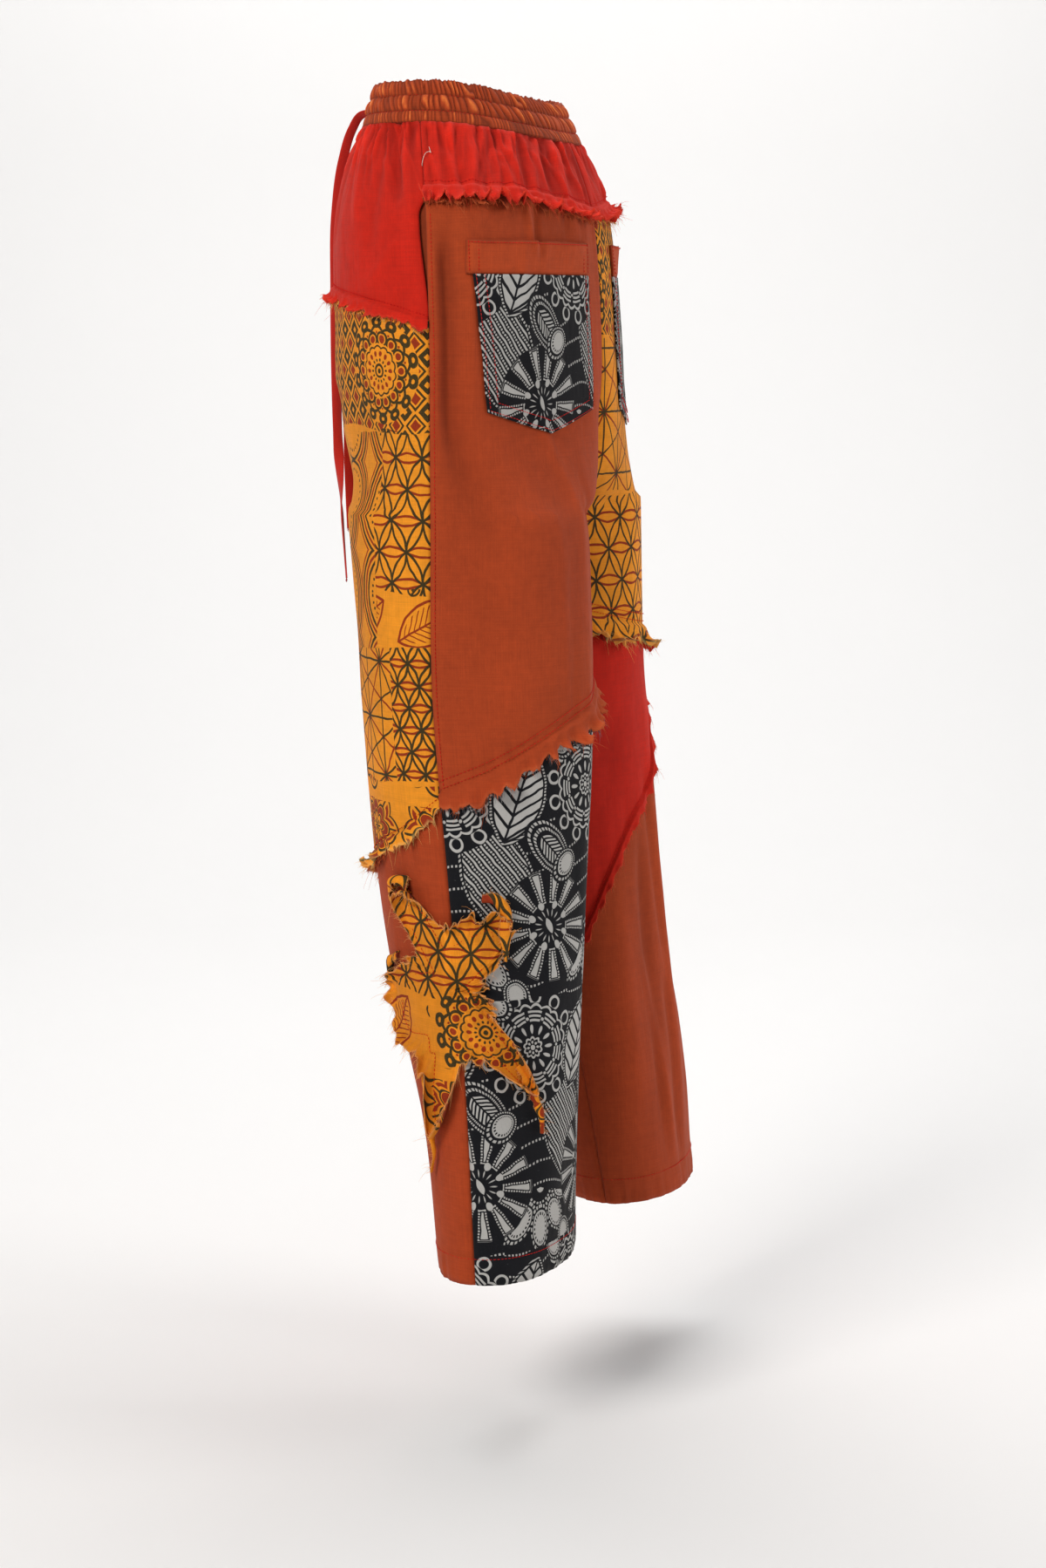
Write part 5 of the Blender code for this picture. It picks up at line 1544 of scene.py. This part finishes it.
def black_tile(p, u, v):
    """Pale ornament on black, again every 130 mm across and 204 mm down, each row set a little aside."""
    wide, tall = 0.13, 0.204
    y0 = v.work("WRAP", tall / 2, -tall / 2)
    x0 = (u + ((v + tall / 2) / tall).work("FLOOR") * 0.055).work("WRAP", wide / 2, -wide / 2)
    line = 0.0007

    def place(centre, turn=0.0):
        return turned((x0 - centre[0]).work("WRAP", wide / 2, -wide / 2), y0 - centre[1], turn)

    def over(pale, shape, cover):
        return (pale * (1.0 - cover)).most(shape * cover)

    # a pointed field of slanting lines and rows of dots between them
    x, y = place((0.006, -0.006), 0.3)
    lens = p.lens(x, y, (0.04, 0.0), 0.066)
    d, e = x * 0.94 + y * 0.34, y * 0.94 - x * 0.34
    gap = (d - 0.0032).fold(0.0032)
    stripes = d.fold(0.0032).ink(line * 1.2)
    dots = p.distance(p.vector(gap, e.fold(0.00125)), (0.0, 0.0)).ink(0.0009)
    pale = stripes.most(dots) * lens.ink()
    wave = y0 + (x0 * 70.0).work("SINE") * 0.005
    loose = wave.fold(0.0088).ink(0.0009) * x0.fold(0.0017).ink(0.0008)
    pale = pale.most(loose * (0.004 - lens).ink())
    pale = pale.most((lens - 0.0022).size().ink(0.0008) * e.fold(0.0015).ink(0.0008))

    # petals hung about an arc: pale bodies with dark beads inside and pale beads outside
    x, y = place((-0.028, -0.052))
    r, t = p.polar(x, y)
    t = t + math.pi / 2
    f = t.fold(math.pi / 9)
    half = (t.size() - 1.28).ink(0.0, 0.02)
    out, across = (r - 0.034) / 0.015, f * r / 0.0088
    d = ((out * out + across * across).work("SQRT") - 1.0) * 0.0096
    cover = (r - 0.053).ink() * half
    beads = (across.work("ARCTAN2", out) * 0.0092).fold(0.0014)
    hung = d.ink() * (1.0 - (d + 0.0018).size().ink(0.0008) * beads.ink(0.0007))
    ring = (r - 0.013).size().ink(0.001) * (t * 0.013).fold(0.0018).ink(0.0009)
    hung = either(hung, (d - 0.002).size().ink(0.0008) * beads.ink(0.0008), ring, r.ink(0.004))
    pale = over(pale, hung, cover)

    # sun flower: lens core, ticks, ovals and long wedge petals with dotted outlines
    x, y = place((0.048, -0.046), 0.4)
    r, t = p.polar(x, y)
    f = t.fold(math.pi / 13)
    wedge = (f * r - (r - 0.015) * 0.105).most(r - 0.0425).most(0.0205 - r)
    sun = either(
        p.lens(x, y, (0.008, 0.0), 0.0105).ink(),
        oval_ring(r, t, 15, 0.0105, 0.0026, 0.0005).ink(),
        oval_ring(r, t, 8, 0.0172, 0.0034, 0.0026).ink(),
        wedge.ink(),
        (wedge - 0.0018).size().ink(0.0007) * r.fold(0.0012).ink(0.0007),
    )
    pale = over(pale, sun, (r - 0.0455).ink())

    # round flower: eyed core, drops, paired arcs between beads, scalloped outline and loops
    x, y = place((-0.03, 0.062))
    r, t = p.polar(x, y)
    arcs = (r - 0.0222).size().least((r - 0.0256).size()).least((r - 0.029).size()).ink(line * 1.25)
    gap = ((t.fold(math.pi / 11) * r) - 0.0018).ink()
    flower = either(
        r.ink(0.0022),
        oval_ring(r, t, 8, 0.0044, 0.0012, 0.001).ink(),
        scalloped(r, t, 10, 0.0066, 0.0018).ink(line * 1.2),
        oval_ring(r, t, 12, 0.015, 0.0038, 0.0014).ink(),
        arcs * (1.0 - gap),
        oval_ring(r, t, 11, 0.0238, 0.0013, 0.0013).ink(),
        scalloped(r, t, 20, 0.032, 0.0028).ink(line * 1.5),
        oval_ring(r, t, 13, 0.0405, 0.0052, 0.0048).size().ink(line * 1.4) * (0.0362 - r).ink(),
    )
    pale = over(pale, flower, (r - 0.047).ink())

    # broad leaf: pale blades between dark veins, with a dotted outline
    x, y = place((0.028, 0.058), 1.15)
    lens = p.lens(x, y, (0.0, 0.026), 0.045)
    blades = (x - y.size() * 0.9 + y * 0.3).fold(0.0052)
    leaf = (blades - 0.0037).ink() * lens.ink() * (0.001 - y.size()).ink()
    beads = (lens - 0.0026).size().ink(0.00085) * (x + y * 0.6).fold(0.0015).ink(0.00085)
    pale = over(pale, leaf.most(beads), (lens - 0.0042).ink())

    # feather eye: nested dotted outlines about a comb of short strokes
    x, y = place((0.055, 0.014), -0.85)
    egg = (x * x * 0.45 + y * y * 1.5 + x * y * y * 14.0).work("SQRT")
    rings = (egg - 0.018).size().least((egg - 0.014).size()).ink(0.00095)
    ticks = (y.work("ARCTAN2", x) * 0.016).fold(0.00115).ink(0.0007)
    comb = (x - y.size() * 0.8).fold(0.0019).ink(0.00095) * (egg - 0.0105).ink() * (0.0007 - y.size()).ink()
    pale = over(pale, (rings * ticks).most(comb), (egg - 0.021).ink())

    # drops with beads inside and out
    drops = (((-0.058, 0.004), 0.7, 0.9), ((0.012, -0.096), 1.9, 0.95), ((0.066, 0.1), 2.6, 0.85))
    for centre, turn, grow in drops:
        x, y = place(centre, turn)
        drop = ((x * x + y * y * 1.5).work("SQRT") + x * 0.34) * (1 / grow)
        turnings = (y.work("ARCTAN2", x) * 0.012).fold(0.00135)
        inside = (drop - 0.0086).size().ink(0.0008) * turnings.ink(0.0007)
        outside = (drop - 0.0134).size().ink(0.0009) * turnings.ink(0.0008)
        pale = over(pale, ((drop - 0.0105).ink() * (1.0 - inside)).most(outside), (drop - 0.016).ink())
    return pale


DIAMONDS_ABOVE = -0.6  # only rings centred above this height stand in a field of diamonds


def ochre_print(p, u, v, plan):
    """Ornament on ochre: printed blocks with wavering edges, as a plan of rows lists them."""
    darks, reds = [], []
    for low, high, left, right, kind, given in plan:
        bend = (u * 38.0 + low * 60).work("SINE") * 0.003 + v
        inside = bend.ramp(low - 0.0004, low + 0.0004) * bend.ramp(high + 0.0004, high - 0.0004)
        if left > -0.5:
            inside = inside * (u - left).ramp(-0.0004, 0.0004)
        if right < 0.5:
            inside = inside * (u - right).ramp(0.0004, -0.0004)
        if kind == "petals":
            ink, shade = petal_circles(p, u + given[1], v, given[0], 0.001)
        elif kind == "stars":
            ink, shade = star_lines(p, u + given[1], v, given[0], 0.00085)
        elif kind == "arcs":
            ink, shade = sweeping_arcs(p, u - given[0], (v - given[1]).work("WRAP", 0.034, -0.034))
        elif kind == "mandala":
            x, y = u - given[0], v - given[1]
            ink, shade, cover = mandala(p, x, y)
            if given[1] > DIAMONDS_ABOVE:
                rest, red_rest = diamonds(x + 0.004, y)
                ink, shade = ink.most(rest * (1.0 - cover)), shade.most(red_rest * (1.0 - cover))
        elif kind == "leaves":
            down = (v - given[1]).work("WRAP", 0.03, -0.03)
            x, y = turned(u.work("WRAP", 0.036, -0.036), down, given[0])
            shade, cover = leaf_spray(p, x, y, 0.0008)
            away = p.distance(p.vector(x, y), (0.0, 0.029))
            ink = (away - 0.005).size().ink(0.0009).most(away.ink(0.002)) * (1.0 - cover)
        else:
            down = (v - given[1]).work("WRAP", 0.022, -0.044)
            x, y = turned(u.work("WRAP", 0.04, -0.04), down, given[0])
            ink, shade, cover = lotus(p, x, y)
            ink = ink * cover
        darks.append(ink * inside)
        reds.append(shade * inside)
    return either(*darks), either(*reds)


# ---------- finishes: woven cotton, printed or plain ----------
def woven(p, u, v, slub_high):
    """Height and unevenness of plain weave: threads both ways, with thick and thin stretches along each."""
    across = p.noise(p.vector(u * 26.0, v * 1500.0), 1.0, 2.0)
    down = p.noise(p.vector(u * 1500.0, v * 26.0), 1.0, 2.0)
    slub = (across + down) * 0.5
    weave = ((u * 6900.0).work("SINE") * (v * 6900.0).work("SINE")) * 0.5 + 0.5
    height = weave * 0.35 + slub * slub_high
    return slub, height


SHEEN_TINT = (1.0, 0.86, 0.74, 1.0)


def cotton(name, ground, fray_colour, printing=None, plan=None, inks=(), shade_depth=0.7, crest=None):
    """Plain woven cotton: wash and slub, printed ink if any, wear at raw edges, painted shade in its folds and
    painted highlight on its ridges, with a crest colour on them if one is given.
    """
    p = Pattern(name)
    u, v = p.lay()
    tone, edge = p.attribute("tone"), p.attribute("edge")
    slub, height = woven(p, u, v, 0.65)
    position = p.vector(u, v)
    broad = p.noise(position, 16.0, 3.0)
    mottle = p.noise(position, 130.0, 3.0, 0.6)
    colour = p.mix(slub.ramp(0.3, 0.7), *shades(ground, 0.89, 1.1))
    colour = p.times(colour, broad * 0.3 + mottle * 0.34 + 0.68)
    fleck = p.noise(p.vector(u * 240.0, v * 900.0), 1.0, 1.0).ramp(0.7, 0.8) * mottle.ramp(0.35, 0.7)
    colour = p.mix(fleck * 0.45, colour, fray_colour)
    # painted highlight: the crest colour is laid over the ridges where the painted shading is high
    if crest:
        colour = p.mix(tone.ramp(0.55, 0.95) * mottle.ramp(0.25, 0.65) * 0.75, colour, crest)
    if printing:
        wobble = p.noise(position, 85.0, 1.0)
        other = p.noise(p.vector(u + 3.1, v + 1.7), 85.0, 1.0)
        x, y = u + (wobble - 0.5) * 0.0022, v + (other - 0.5) * 0.0022
        patchy = p.noise(position, 1400.0, 1.0).ramp(0.22, 0.46) * 0.22 + 0.78
        if plan is None:
            dark = printing(p, x, y)
        else:
            dark, red = printing(p, x, y, plan)
            colour = p.mix(red * patchy, colour, inks[1])
        colour = p.mix(dark * patchy, colour, inks[0])
    colour = p.mix(edge.ramp(0.15, 1.0) * 0.8, colour, fray_colour)
    # painted shade and highlight: the colour darkened or lightened by the painted shading, as deep as
    # shade_depth
    colour = p.times(colour, (tone * shade_depth + (1.0 - shade_depth / 2)).most(0.22))
    creases = p.noise(p.vector(u * 1.0, v * 0.55), 46.0, 4.0, 0.62, 0.6)
    creases = creases + p.noise(p.vector(u * 62.0, v * 13.0), 1.0, 2.0) * 1.3
    sockets = {"Sheen Weight": 0.05, "Sheen Roughness": 0.45, "Sheen Tint": SHEEN_TINT}
    sockets["Specular IOR Level"] = 0.22
    return p.surface(colour, slub * 0.1 + 0.83, sockets, height * 0.5 + creases * 2.2, (0.55, 0.0006))


def plain_thread(name, colour):
    """Sewing thread: an uneven light and dark along it."""
    p = Pattern(name)
    u, v = p.lay()
    grain = p.noise(p.vector(u, v), 900.0, 2.0)
    colour = p.mix(grain, *shades(colour, 0.7, 1.2))
    return p.surface(colour, grain * 0.15 + 0.7, {"Specular IOR Level": 0.15})


def woven_tie(name, colour):
    """A flat braid: slanting strands that cross at its middle and at both selvedges."""
    p = Pattern(name)
    u, v = p.lay()
    across = (u / 0.0015).fold(1.0)
    slant = ((v / 0.0013) + across * 0.5).fold(1.0)
    rib = (slant * 3.14159).work("SINE")
    grain = p.noise(p.vector(u * 500.0, v * 90.0), 1.0, 2.0)
    broad = p.noise(p.vector(u, v), 40.0, 2.0)
    # painted shade and highlight of the ribs: darker between the strands and lighter on them, with random grain
    base = p.mix(rib * 0.6 + grain * 0.4, *shades(colour, 0.62, 1.18))
    base = p.times(base, broad * 0.3 + 0.85)
    sockets = {"Sheen Weight": 0.25, "Specular IOR Level": 0.3}
    return p.surface(base, grain * 0.12 + 0.7, sockets, rib * 0.7 + grain * 0.3, (0.7, 0.0005))


def plain_backdrop(name, colour):
    """Matt paper with a faint unevenness."""
    p = Pattern(name)
    place = p.node("ShaderNodeTexCoord")
    grain = p.noise(place.outputs["Object"], 3.0, 2.0)
    return p.surface(p.mix(grain, *shades(colour, 0.985, 1.0)), 0.92, {})


FRONT_PLAN = (  # foot, top, left, right and kind of each block, then size and shift, turn and height, or centre
    (-0.27, -0.14, -1, 1, "mandala", (-0.05, -0.224)),
    (-0.395, -0.27, -0.054, 1, "petals", (0.028, 0.006)),
    (-0.44, -0.27, -1, -0.054, "arcs", (-0.078, -0.33)),
    (-0.44, -0.395, -0.054, 1, "leaves", (0.5, -0.418)),
    (-0.545, -0.44, -1, -0.038, "stars", (0.026, 0.0)),
    (-0.545, -0.44, -0.038, 1, "petals", (0.02, 0.0)),
    (-0.68, -0.545, -1, 1, "lotus", (0.0, -0.584)),
)
BACK_PLAN = (
    (-0.2, -0.07, -1, 1, "mandala", (-0.25, -0.15)),
    (-0.33, -0.2, -1, 1, "stars", (0.03, 0.01)),
    (-0.48, -0.33, -1, 1, "petals", (0.031, 0.0)),
)
STAR_PLAN = (
    (-0.712, -0.59, -1, 1, "petals", (0.026, 0.012)),
    (-0.768, -0.712, -0.026, 1, "mandala", (0.02, -0.738)),
    (-0.768, -0.712, -1, -0.026, "leaves", (0.9, -0.742)),
    (-0.88, -0.768, -1, 1, "lotus", (0.3, -0.8)),
)


# ---------- settings ----------
def shade(name, rgb, description):
    """A colour setting."""
    return bpy.props.FloatVectorProperty(
        name=name, description=description, subtype="COLOR", size=3, min=0.0, max=1.0, default=linear(rgb)
    )


def length(name, metres, description):
    """A length setting."""
    return bpy.props.FloatProperty(
        name=name, description=description, default=metres, unit="LENGTH", precision=4
    )


def power(name, watts, description):
    """A light's strength setting."""
    return bpy.props.FloatProperty(name=name, description=description, default=watts, unit="POWER")


class TrousersCloth(bpy.types.PropertyGroup):
    """Colours of the cloths, inks and threads, and the sizes of the sewing."""

    rust: shade("Rust", (173, 66, 28), "Colour of the plain rust cotton")
    red: shade("Red", (202, 33, 15), "Colour of the plain red cotton")
    ochre: shade("Ochre", (238, 148, 34), "Ground colour of the printed ochre cotton")
    black: shade("Black", (18, 19, 24), "Ground colour of the printed black cotton")
    star: shade("Star", (234, 142, 30), "Ground colour of the star patch")
    dark_ink: shade("Dark ink", (58, 50, 24), "Colour of the dark lines on ochre")
    red_ink: shade("Red ink", (146, 46, 18), "Colour of the red lines and shapes on ochre")
    pale_ink: shade("Pale ink", (188, 186, 182), "Colour of the ornament on black")
    thread: shade("Thread", (214, 30, 24), "Colour of the sewing thread")
    fray_length: bpy.props.FloatProperty(
        name="Fray length",
        description="Length of the loose threads against their own",
        default=1.0,
        min=0.0,
        max=3.0,
    )
    wall: length("Cloth thickness", 0.0009, "Thickness of a patch's wall")
    stitch: length("Stitch length", 0.0031, "Distance from stitch to stitch")


class TrousersStage(bpy.types.PropertyGroup):
    """Floor, backdrop, lights and camera."""

    floor: length("Floor", -1.085, "Height of the floor")
    backdrop: shade("Backdrop", (243, 242, 241), "Colour of the floor and the backdrop")
    key: power("Key light", 56.0, "Strength of the main light")
    fill: power("Fill light", 26.0, "Strength of the light on the back")
    distance: length("Camera distance", 2.7, "Distance from the trousers to the camera")


FINISHES = {}  # filled by finishes_of, one material for each name


def finishes_of(name):
    """A cloth's or a thread's material, made once from the settings."""
    if name in FINISHES:
        return FINISHES[name]
    look = settings()
    grounds = (look.rust, look.red, look.ochre, look.black, look.star)
    rust, red, ochre, black, star = (tuple(c) for c in grounds)
    inks, pale = (tuple(look.dark_ink), tuple(look.red_ink)), (tuple(look.pale_ink),)
    ochre_fray, star_fray = linear((240, 196, 120)), linear((246, 176, 110))
    # painted shade and highlight for the gathered band: deeper painted shade and a crest colour for the ridges
    ridge_shade_and_highlight = {"shade_depth": 1.15, "crest": linear((216, 122, 54))}
    recipes = {
        "rust": lambda: cotton("rust cotton", rust, linear((206, 104, 58))),
        "rust_band": lambda: cotton("rust cotton, gathered", rust, linear((232, 132, 84)), **ridge_shade_and_highlight),
        "red": lambda: cotton("red cotton", red, linear((226, 70, 44))),
        "ochre_front": lambda: cotton("ochre print, front", ochre, ochre_fray, ochre_print, FRONT_PLAN, inks),
        "ochre_back": lambda: cotton("ochre print, back", ochre, ochre_fray, ochre_print, BACK_PLAN, inks),
        "ochre_star": lambda: cotton("ochre print, star", star, star_fray, ochre_print, STAR_PLAN, inks),
        "black": lambda: cotton("black print", black, linear((120, 120, 124)), black_tile, None, pale),
        "thread": lambda: plain_thread("sewing thread", tuple(look.thread)),
        "pale_thread": lambda: plain_thread("pale loose thread", linear((226, 214, 200))),
        "tie": lambda: woven_tie("woven tie", red),
    }
    FINISHES[name] = recipes[name]()
    return FINISHES[name]


def sheet_size(points, lay):
    """The oblong that the flat cloth is cut from, let out by its gathers, and the cloth's own area."""
    area = np.cross(points[1:, 1:] - points[:-1, :-1], points[1:, :-1] - points[:-1, 1:])
    sizes = []
    for axis in (0, 1):
        true = np.linalg.norm(np.diff(points, axis=1 - axis), axis=2).sum()
        flat = np.linalg.norm(np.diff(lay, axis=1 - axis), axis=2).sum()
        sizes.append(float(np.ptp(lay[..., axis]) * true / flat))
    return sizes[0], sizes[1], float(np.linalg.norm(area, axis=2).sum() / 2)


def dress(sewn, node, cloth_name):
    """Makes the mesh and lets it stand for its solid; it works out the cloth's sheet size and area but does
    nothing with them.
    """
    piece = sewn.make(finishes_of(cloth_name), finishes_of("thread"), finishes_of("pale_thread"))
    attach(piece, "root")
    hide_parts(node)
    width, length, area = sewn.sheet
    area = min(area, 0.999 * width * length)
    return piece


# ---------- operators ----------
VIEW_TURN, VIEW_PITCH = math.radians(17.0), math.radians(8.26)
VIEW_ASIDE, VIEW_HEIGHT = 0.0393, -0.1805
FOCAL_STEPS, FRAME_STEPS = 3712.0, 1799.0  # the focal length and the frame's height, both in image steps
SENSOR_HEIGHT = 36.0


class TROUSERS_OT_camera(bpy.types.Operator):
    """Places the camera that looks at the trousers' left side and back"""

    bl_idname = "trousers.camera"
    bl_label = "Camera"

    def execute(self, context):
        stage = context.scene.trousers_stage
        level = Vector((-math.cos(VIEW_TURN), -math.sin(VIEW_TURN), 0.0))
        right = Vector((-math.sin(VIEW_TURN), math.cos(VIEW_TURN), 0.0))
        look = level * math.cos(VIEW_PITCH) + Vector((0, 0, -math.sin(VIEW_PITCH)))
        up = right.cross(look)
        data = bpy.data.cameras.new("camera")
        data.sensor_fit = "VERTICAL"
        data.sensor_height = SENSOR_HEIGHT
        data.lens = FOCAL_STEPS * SENSOR_HEIGHT / FRAME_STEPS
        data.clip_start, data.clip_end = 0.05, 50.0
        camera = bpy.data.objects.new("camera", data)
        place = -level * stage.distance + right * VIEW_ASIDE + Vector((0, 0, VIEW_HEIGHT))
        camera.matrix_world = Matrix.Translation(place) @ Matrix((right, up, -look)).transposed().to_4x4()
        context.scene.collection.objects.link(camera)
        context.scene.camera = camera
        return {"FINISHED"}


class TROUSERS_OT_drawstring(bpy.types.Operator):
    """Makes the two free ends of the flat woven tie"""

    bl_idname = "trousers.drawstring"
    bl_label = "Drawstring"

    def execute(self, context):
        for name in TIE_ROUTES:
            sewn, length = make_tie(name)
            piece = sewn.make(finishes_of("tie"))
            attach(piece, "root")
            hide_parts(name)
            path = [tuple(float(c) for c in point) for point in smooth_route(TIE_ROUTES[name], 36)]
        return {"FINISHED"}


class TROUSERS_OT_waistband(bpy.types.Operator):
    """Makes the gathered waistband"""

    bl_idname = "trousers.waistband"
    bl_label = "Waistband"

    def execute(self, context):
        dress(make_waistband(), "waistband", "rust_band")
        return {"FINISHED"}


class TROUSERS_OT_patches(bpy.types.Operator):
    """Makes the joined patches of the legs with their raw edges"""

    bl_idname = "trousers.patches"
    bl_label = "Leg patches"

    def execute(self, context):
        for seed, row in enumerate(PATCHES):
            patch, sewn = make_patch(row, seed)
            dress(sewn, patch["node"], patch["cloth"])
        return {"FINISHED"}


class TROUSERS_OT_pockets(bpy.types.Operator):
    """Makes the back patch pockets with their straight bands"""

    bl_idname = "trousers.pockets"
    bl_label = "Back pockets"

    def execute(self, context):
        for leg in ("left", "right"):
            dress(make_pocket_band(leg), f"back_pocket_band_{leg}", "rust")
            dress(make_pocket_body(leg), f"back_pocket_{leg}", "black")
        return {"FINISHED"}


class TROUSERS_OT_bags(bpy.types.Operator):
    """Makes the plain pocket bags inside the side slits"""

    bl_idname = "trousers.bags"
    bl_label = "Side pocket bags"

    def execute(self, context):
        for leg in ("left", "right"):
            dress(make_side_bag(leg), f"side_pocket_bag_{leg}", "rust")
        return {"FINISHED"}


class TROUSERS_OT_star(bpy.types.Operator):
    """Makes the ragged star patch"""

    bl_idname = "trousers.star"
    bl_label = "Star patch"

    def execute(self, context):
        dress(make_star(), "star_patch", "ochre_star")
        return {"FINISHED"}


class TROUSERS_OT_stage(bpy.types.Operator):
    """Makes the pale floor that curves up behind, and the soft lights"""

    bl_idname = "trousers.stage"
    bl_label = "Stage"

    def execute(self, context):
        stage = context.scene.trousers_stage
        far, near, radius, wide, high = -3.2, 12.0, 1.2, 12.0, 6.0
        bend = np.linspace(0, math.pi / 2, 25)
        along_floor = np.concatenate([[near], far + radius - radius * np.sin(bend), [far]])
        height = np.concatenate([[0.0], radius - radius * np.cos(bend), [high]]) + stage.floor
        c, s = math.cos(VIEW_TURN), math.sin(VIEW_TURN)
        ahead, aside, up = np.array([[c, s, 0], [-s, c, 0], [0, 0, 1]])
        sides = np.array([-wide, wide])[None, :, None]
        points = ahead * along_floor[:, None, None] + aside * sides + up * height[:, None, None]
        grid = np.arange(points.shape[0] * 2).reshape(-1, 2)
        quads = np.stack([grid[:-1, 0], grid[:-1, 1], grid[1:, 1], grid[1:, 0]], axis=-1)
        mesh = bpy.data.meshes.new("backdrop")
        mesh.from_pydata(points.reshape(-1, 3).tolist(), [], quads.tolist())
        mesh.polygons.foreach_set("use_smooth", np.ones(len(quads), bool))
        mesh.materials.append(plain_backdrop("backdrop", tuple(stage.backdrop)))
        mesh.update()
        sweep = bpy.data.objects.new("backdrop", mesh)
        context.scene.collection.objects.link(sweep)
        aim, behind = Vector((0.0, 0.02, -0.45)), Vector((-3.1, -0.9, -0.5))
        for name, place, size, power, colour in (
            ("key", (2.55, -0.75, 1.15), 1.1, stage.key, (1.0, 0.98, 0.95)),
            ("fill", (-0.35, 2.55, 0.7), 1.6, stage.fill, (1.0, 0.98, 0.96)),
            ("top", (-0.5, 0.4, 2.1), 1.8, 0.5 * stage.fill, (1.0, 1.0, 1.0)),
            ("wash", (-1.2, -0.4, 2.3), 2.2, 2.6 * stage.fill, (1.0, 1.0, 1.0)),
        ):
            data = bpy.data.lights.new(name, "AREA")
            data.shape, data.size, data.energy, data.color = "SQUARE", size, power, colour
            lamp = bpy.data.objects.new(name, data)
            lamp.location = place
            way = (behind if name == "wash" else aim) - Vector(place)
            lamp.rotation_euler = way.to_track_quat("-Z", "Y").to_euler()
            context.scene.collection.objects.link(lamp)
        world = bpy.data.worlds.new("studio")
        world.use_nodes = True
        sky = world.node_tree.nodes["Background"]
        sky.inputs["Color"].default_value = (0.86, 0.88, 0.92, 1.0)
        sky.inputs["Strength"].default_value = 0.16
        context.scene.world = world
        context.scene.view_settings.view_transform = "Standard"
        return {"FINISHED"}


OPERATORS = (
    TROUSERS_OT_camera,
    TROUSERS_OT_drawstring,
    TROUSERS_OT_waistband,
    TROUSERS_OT_patches,
    TROUSERS_OT_pockets,
    TROUSERS_OT_bags,
    TROUSERS_OT_star,
    TROUSERS_OT_stage,
)


class TROUSERS_PT_panel(bpy.types.Panel):
    """The trousers' settings and pieces"""

    bl_idname = "TROUSERS_PT_panel"
    bl_label = "Patchwork Palazzo Pants"
    bl_space_type = "VIEW_3D"
    bl_region_type = "UI"
    bl_category = "Trousers"

    def draw(self, context):
        column = self.layout.column()
        for settings in (context.scene.trousers_cloth, context.scene.trousers_stage):
            for key in settings.__annotations__:
                column.prop(settings, key)
        for operator in OPERATORS:
            column.operator(operator.bl_idname)


CLASSES = (TrousersCloth, TrousersStage, *OPERATORS, TROUSERS_PT_panel)


def register():
    for kind in CLASSES:
        bpy.utils.register_class(kind)
    bpy.types.Scene.trousers_cloth = bpy.props.PointerProperty(type=TrousersCloth)
    bpy.types.Scene.trousers_stage = bpy.props.PointerProperty(type=TrousersStage)


def unregister():
    del bpy.types.Scene.trousers_stage
    del bpy.types.Scene.trousers_cloth
    for kind in reversed(CLASSES):
        bpy.utils.unregister_class(kind)


def main():
    register()
    bpy.ops.trousers.camera()
    bpy.ops.trousers.drawstring()
    bpy.ops.trousers.waistband()
    bpy.ops.trousers.patches()
    bpy.ops.trousers.pockets()
    bpy.ops.trousers.bags()
    bpy.ops.trousers.star()
    bpy.ops.trousers.stage()


if __name__ == "__main__":
    main()
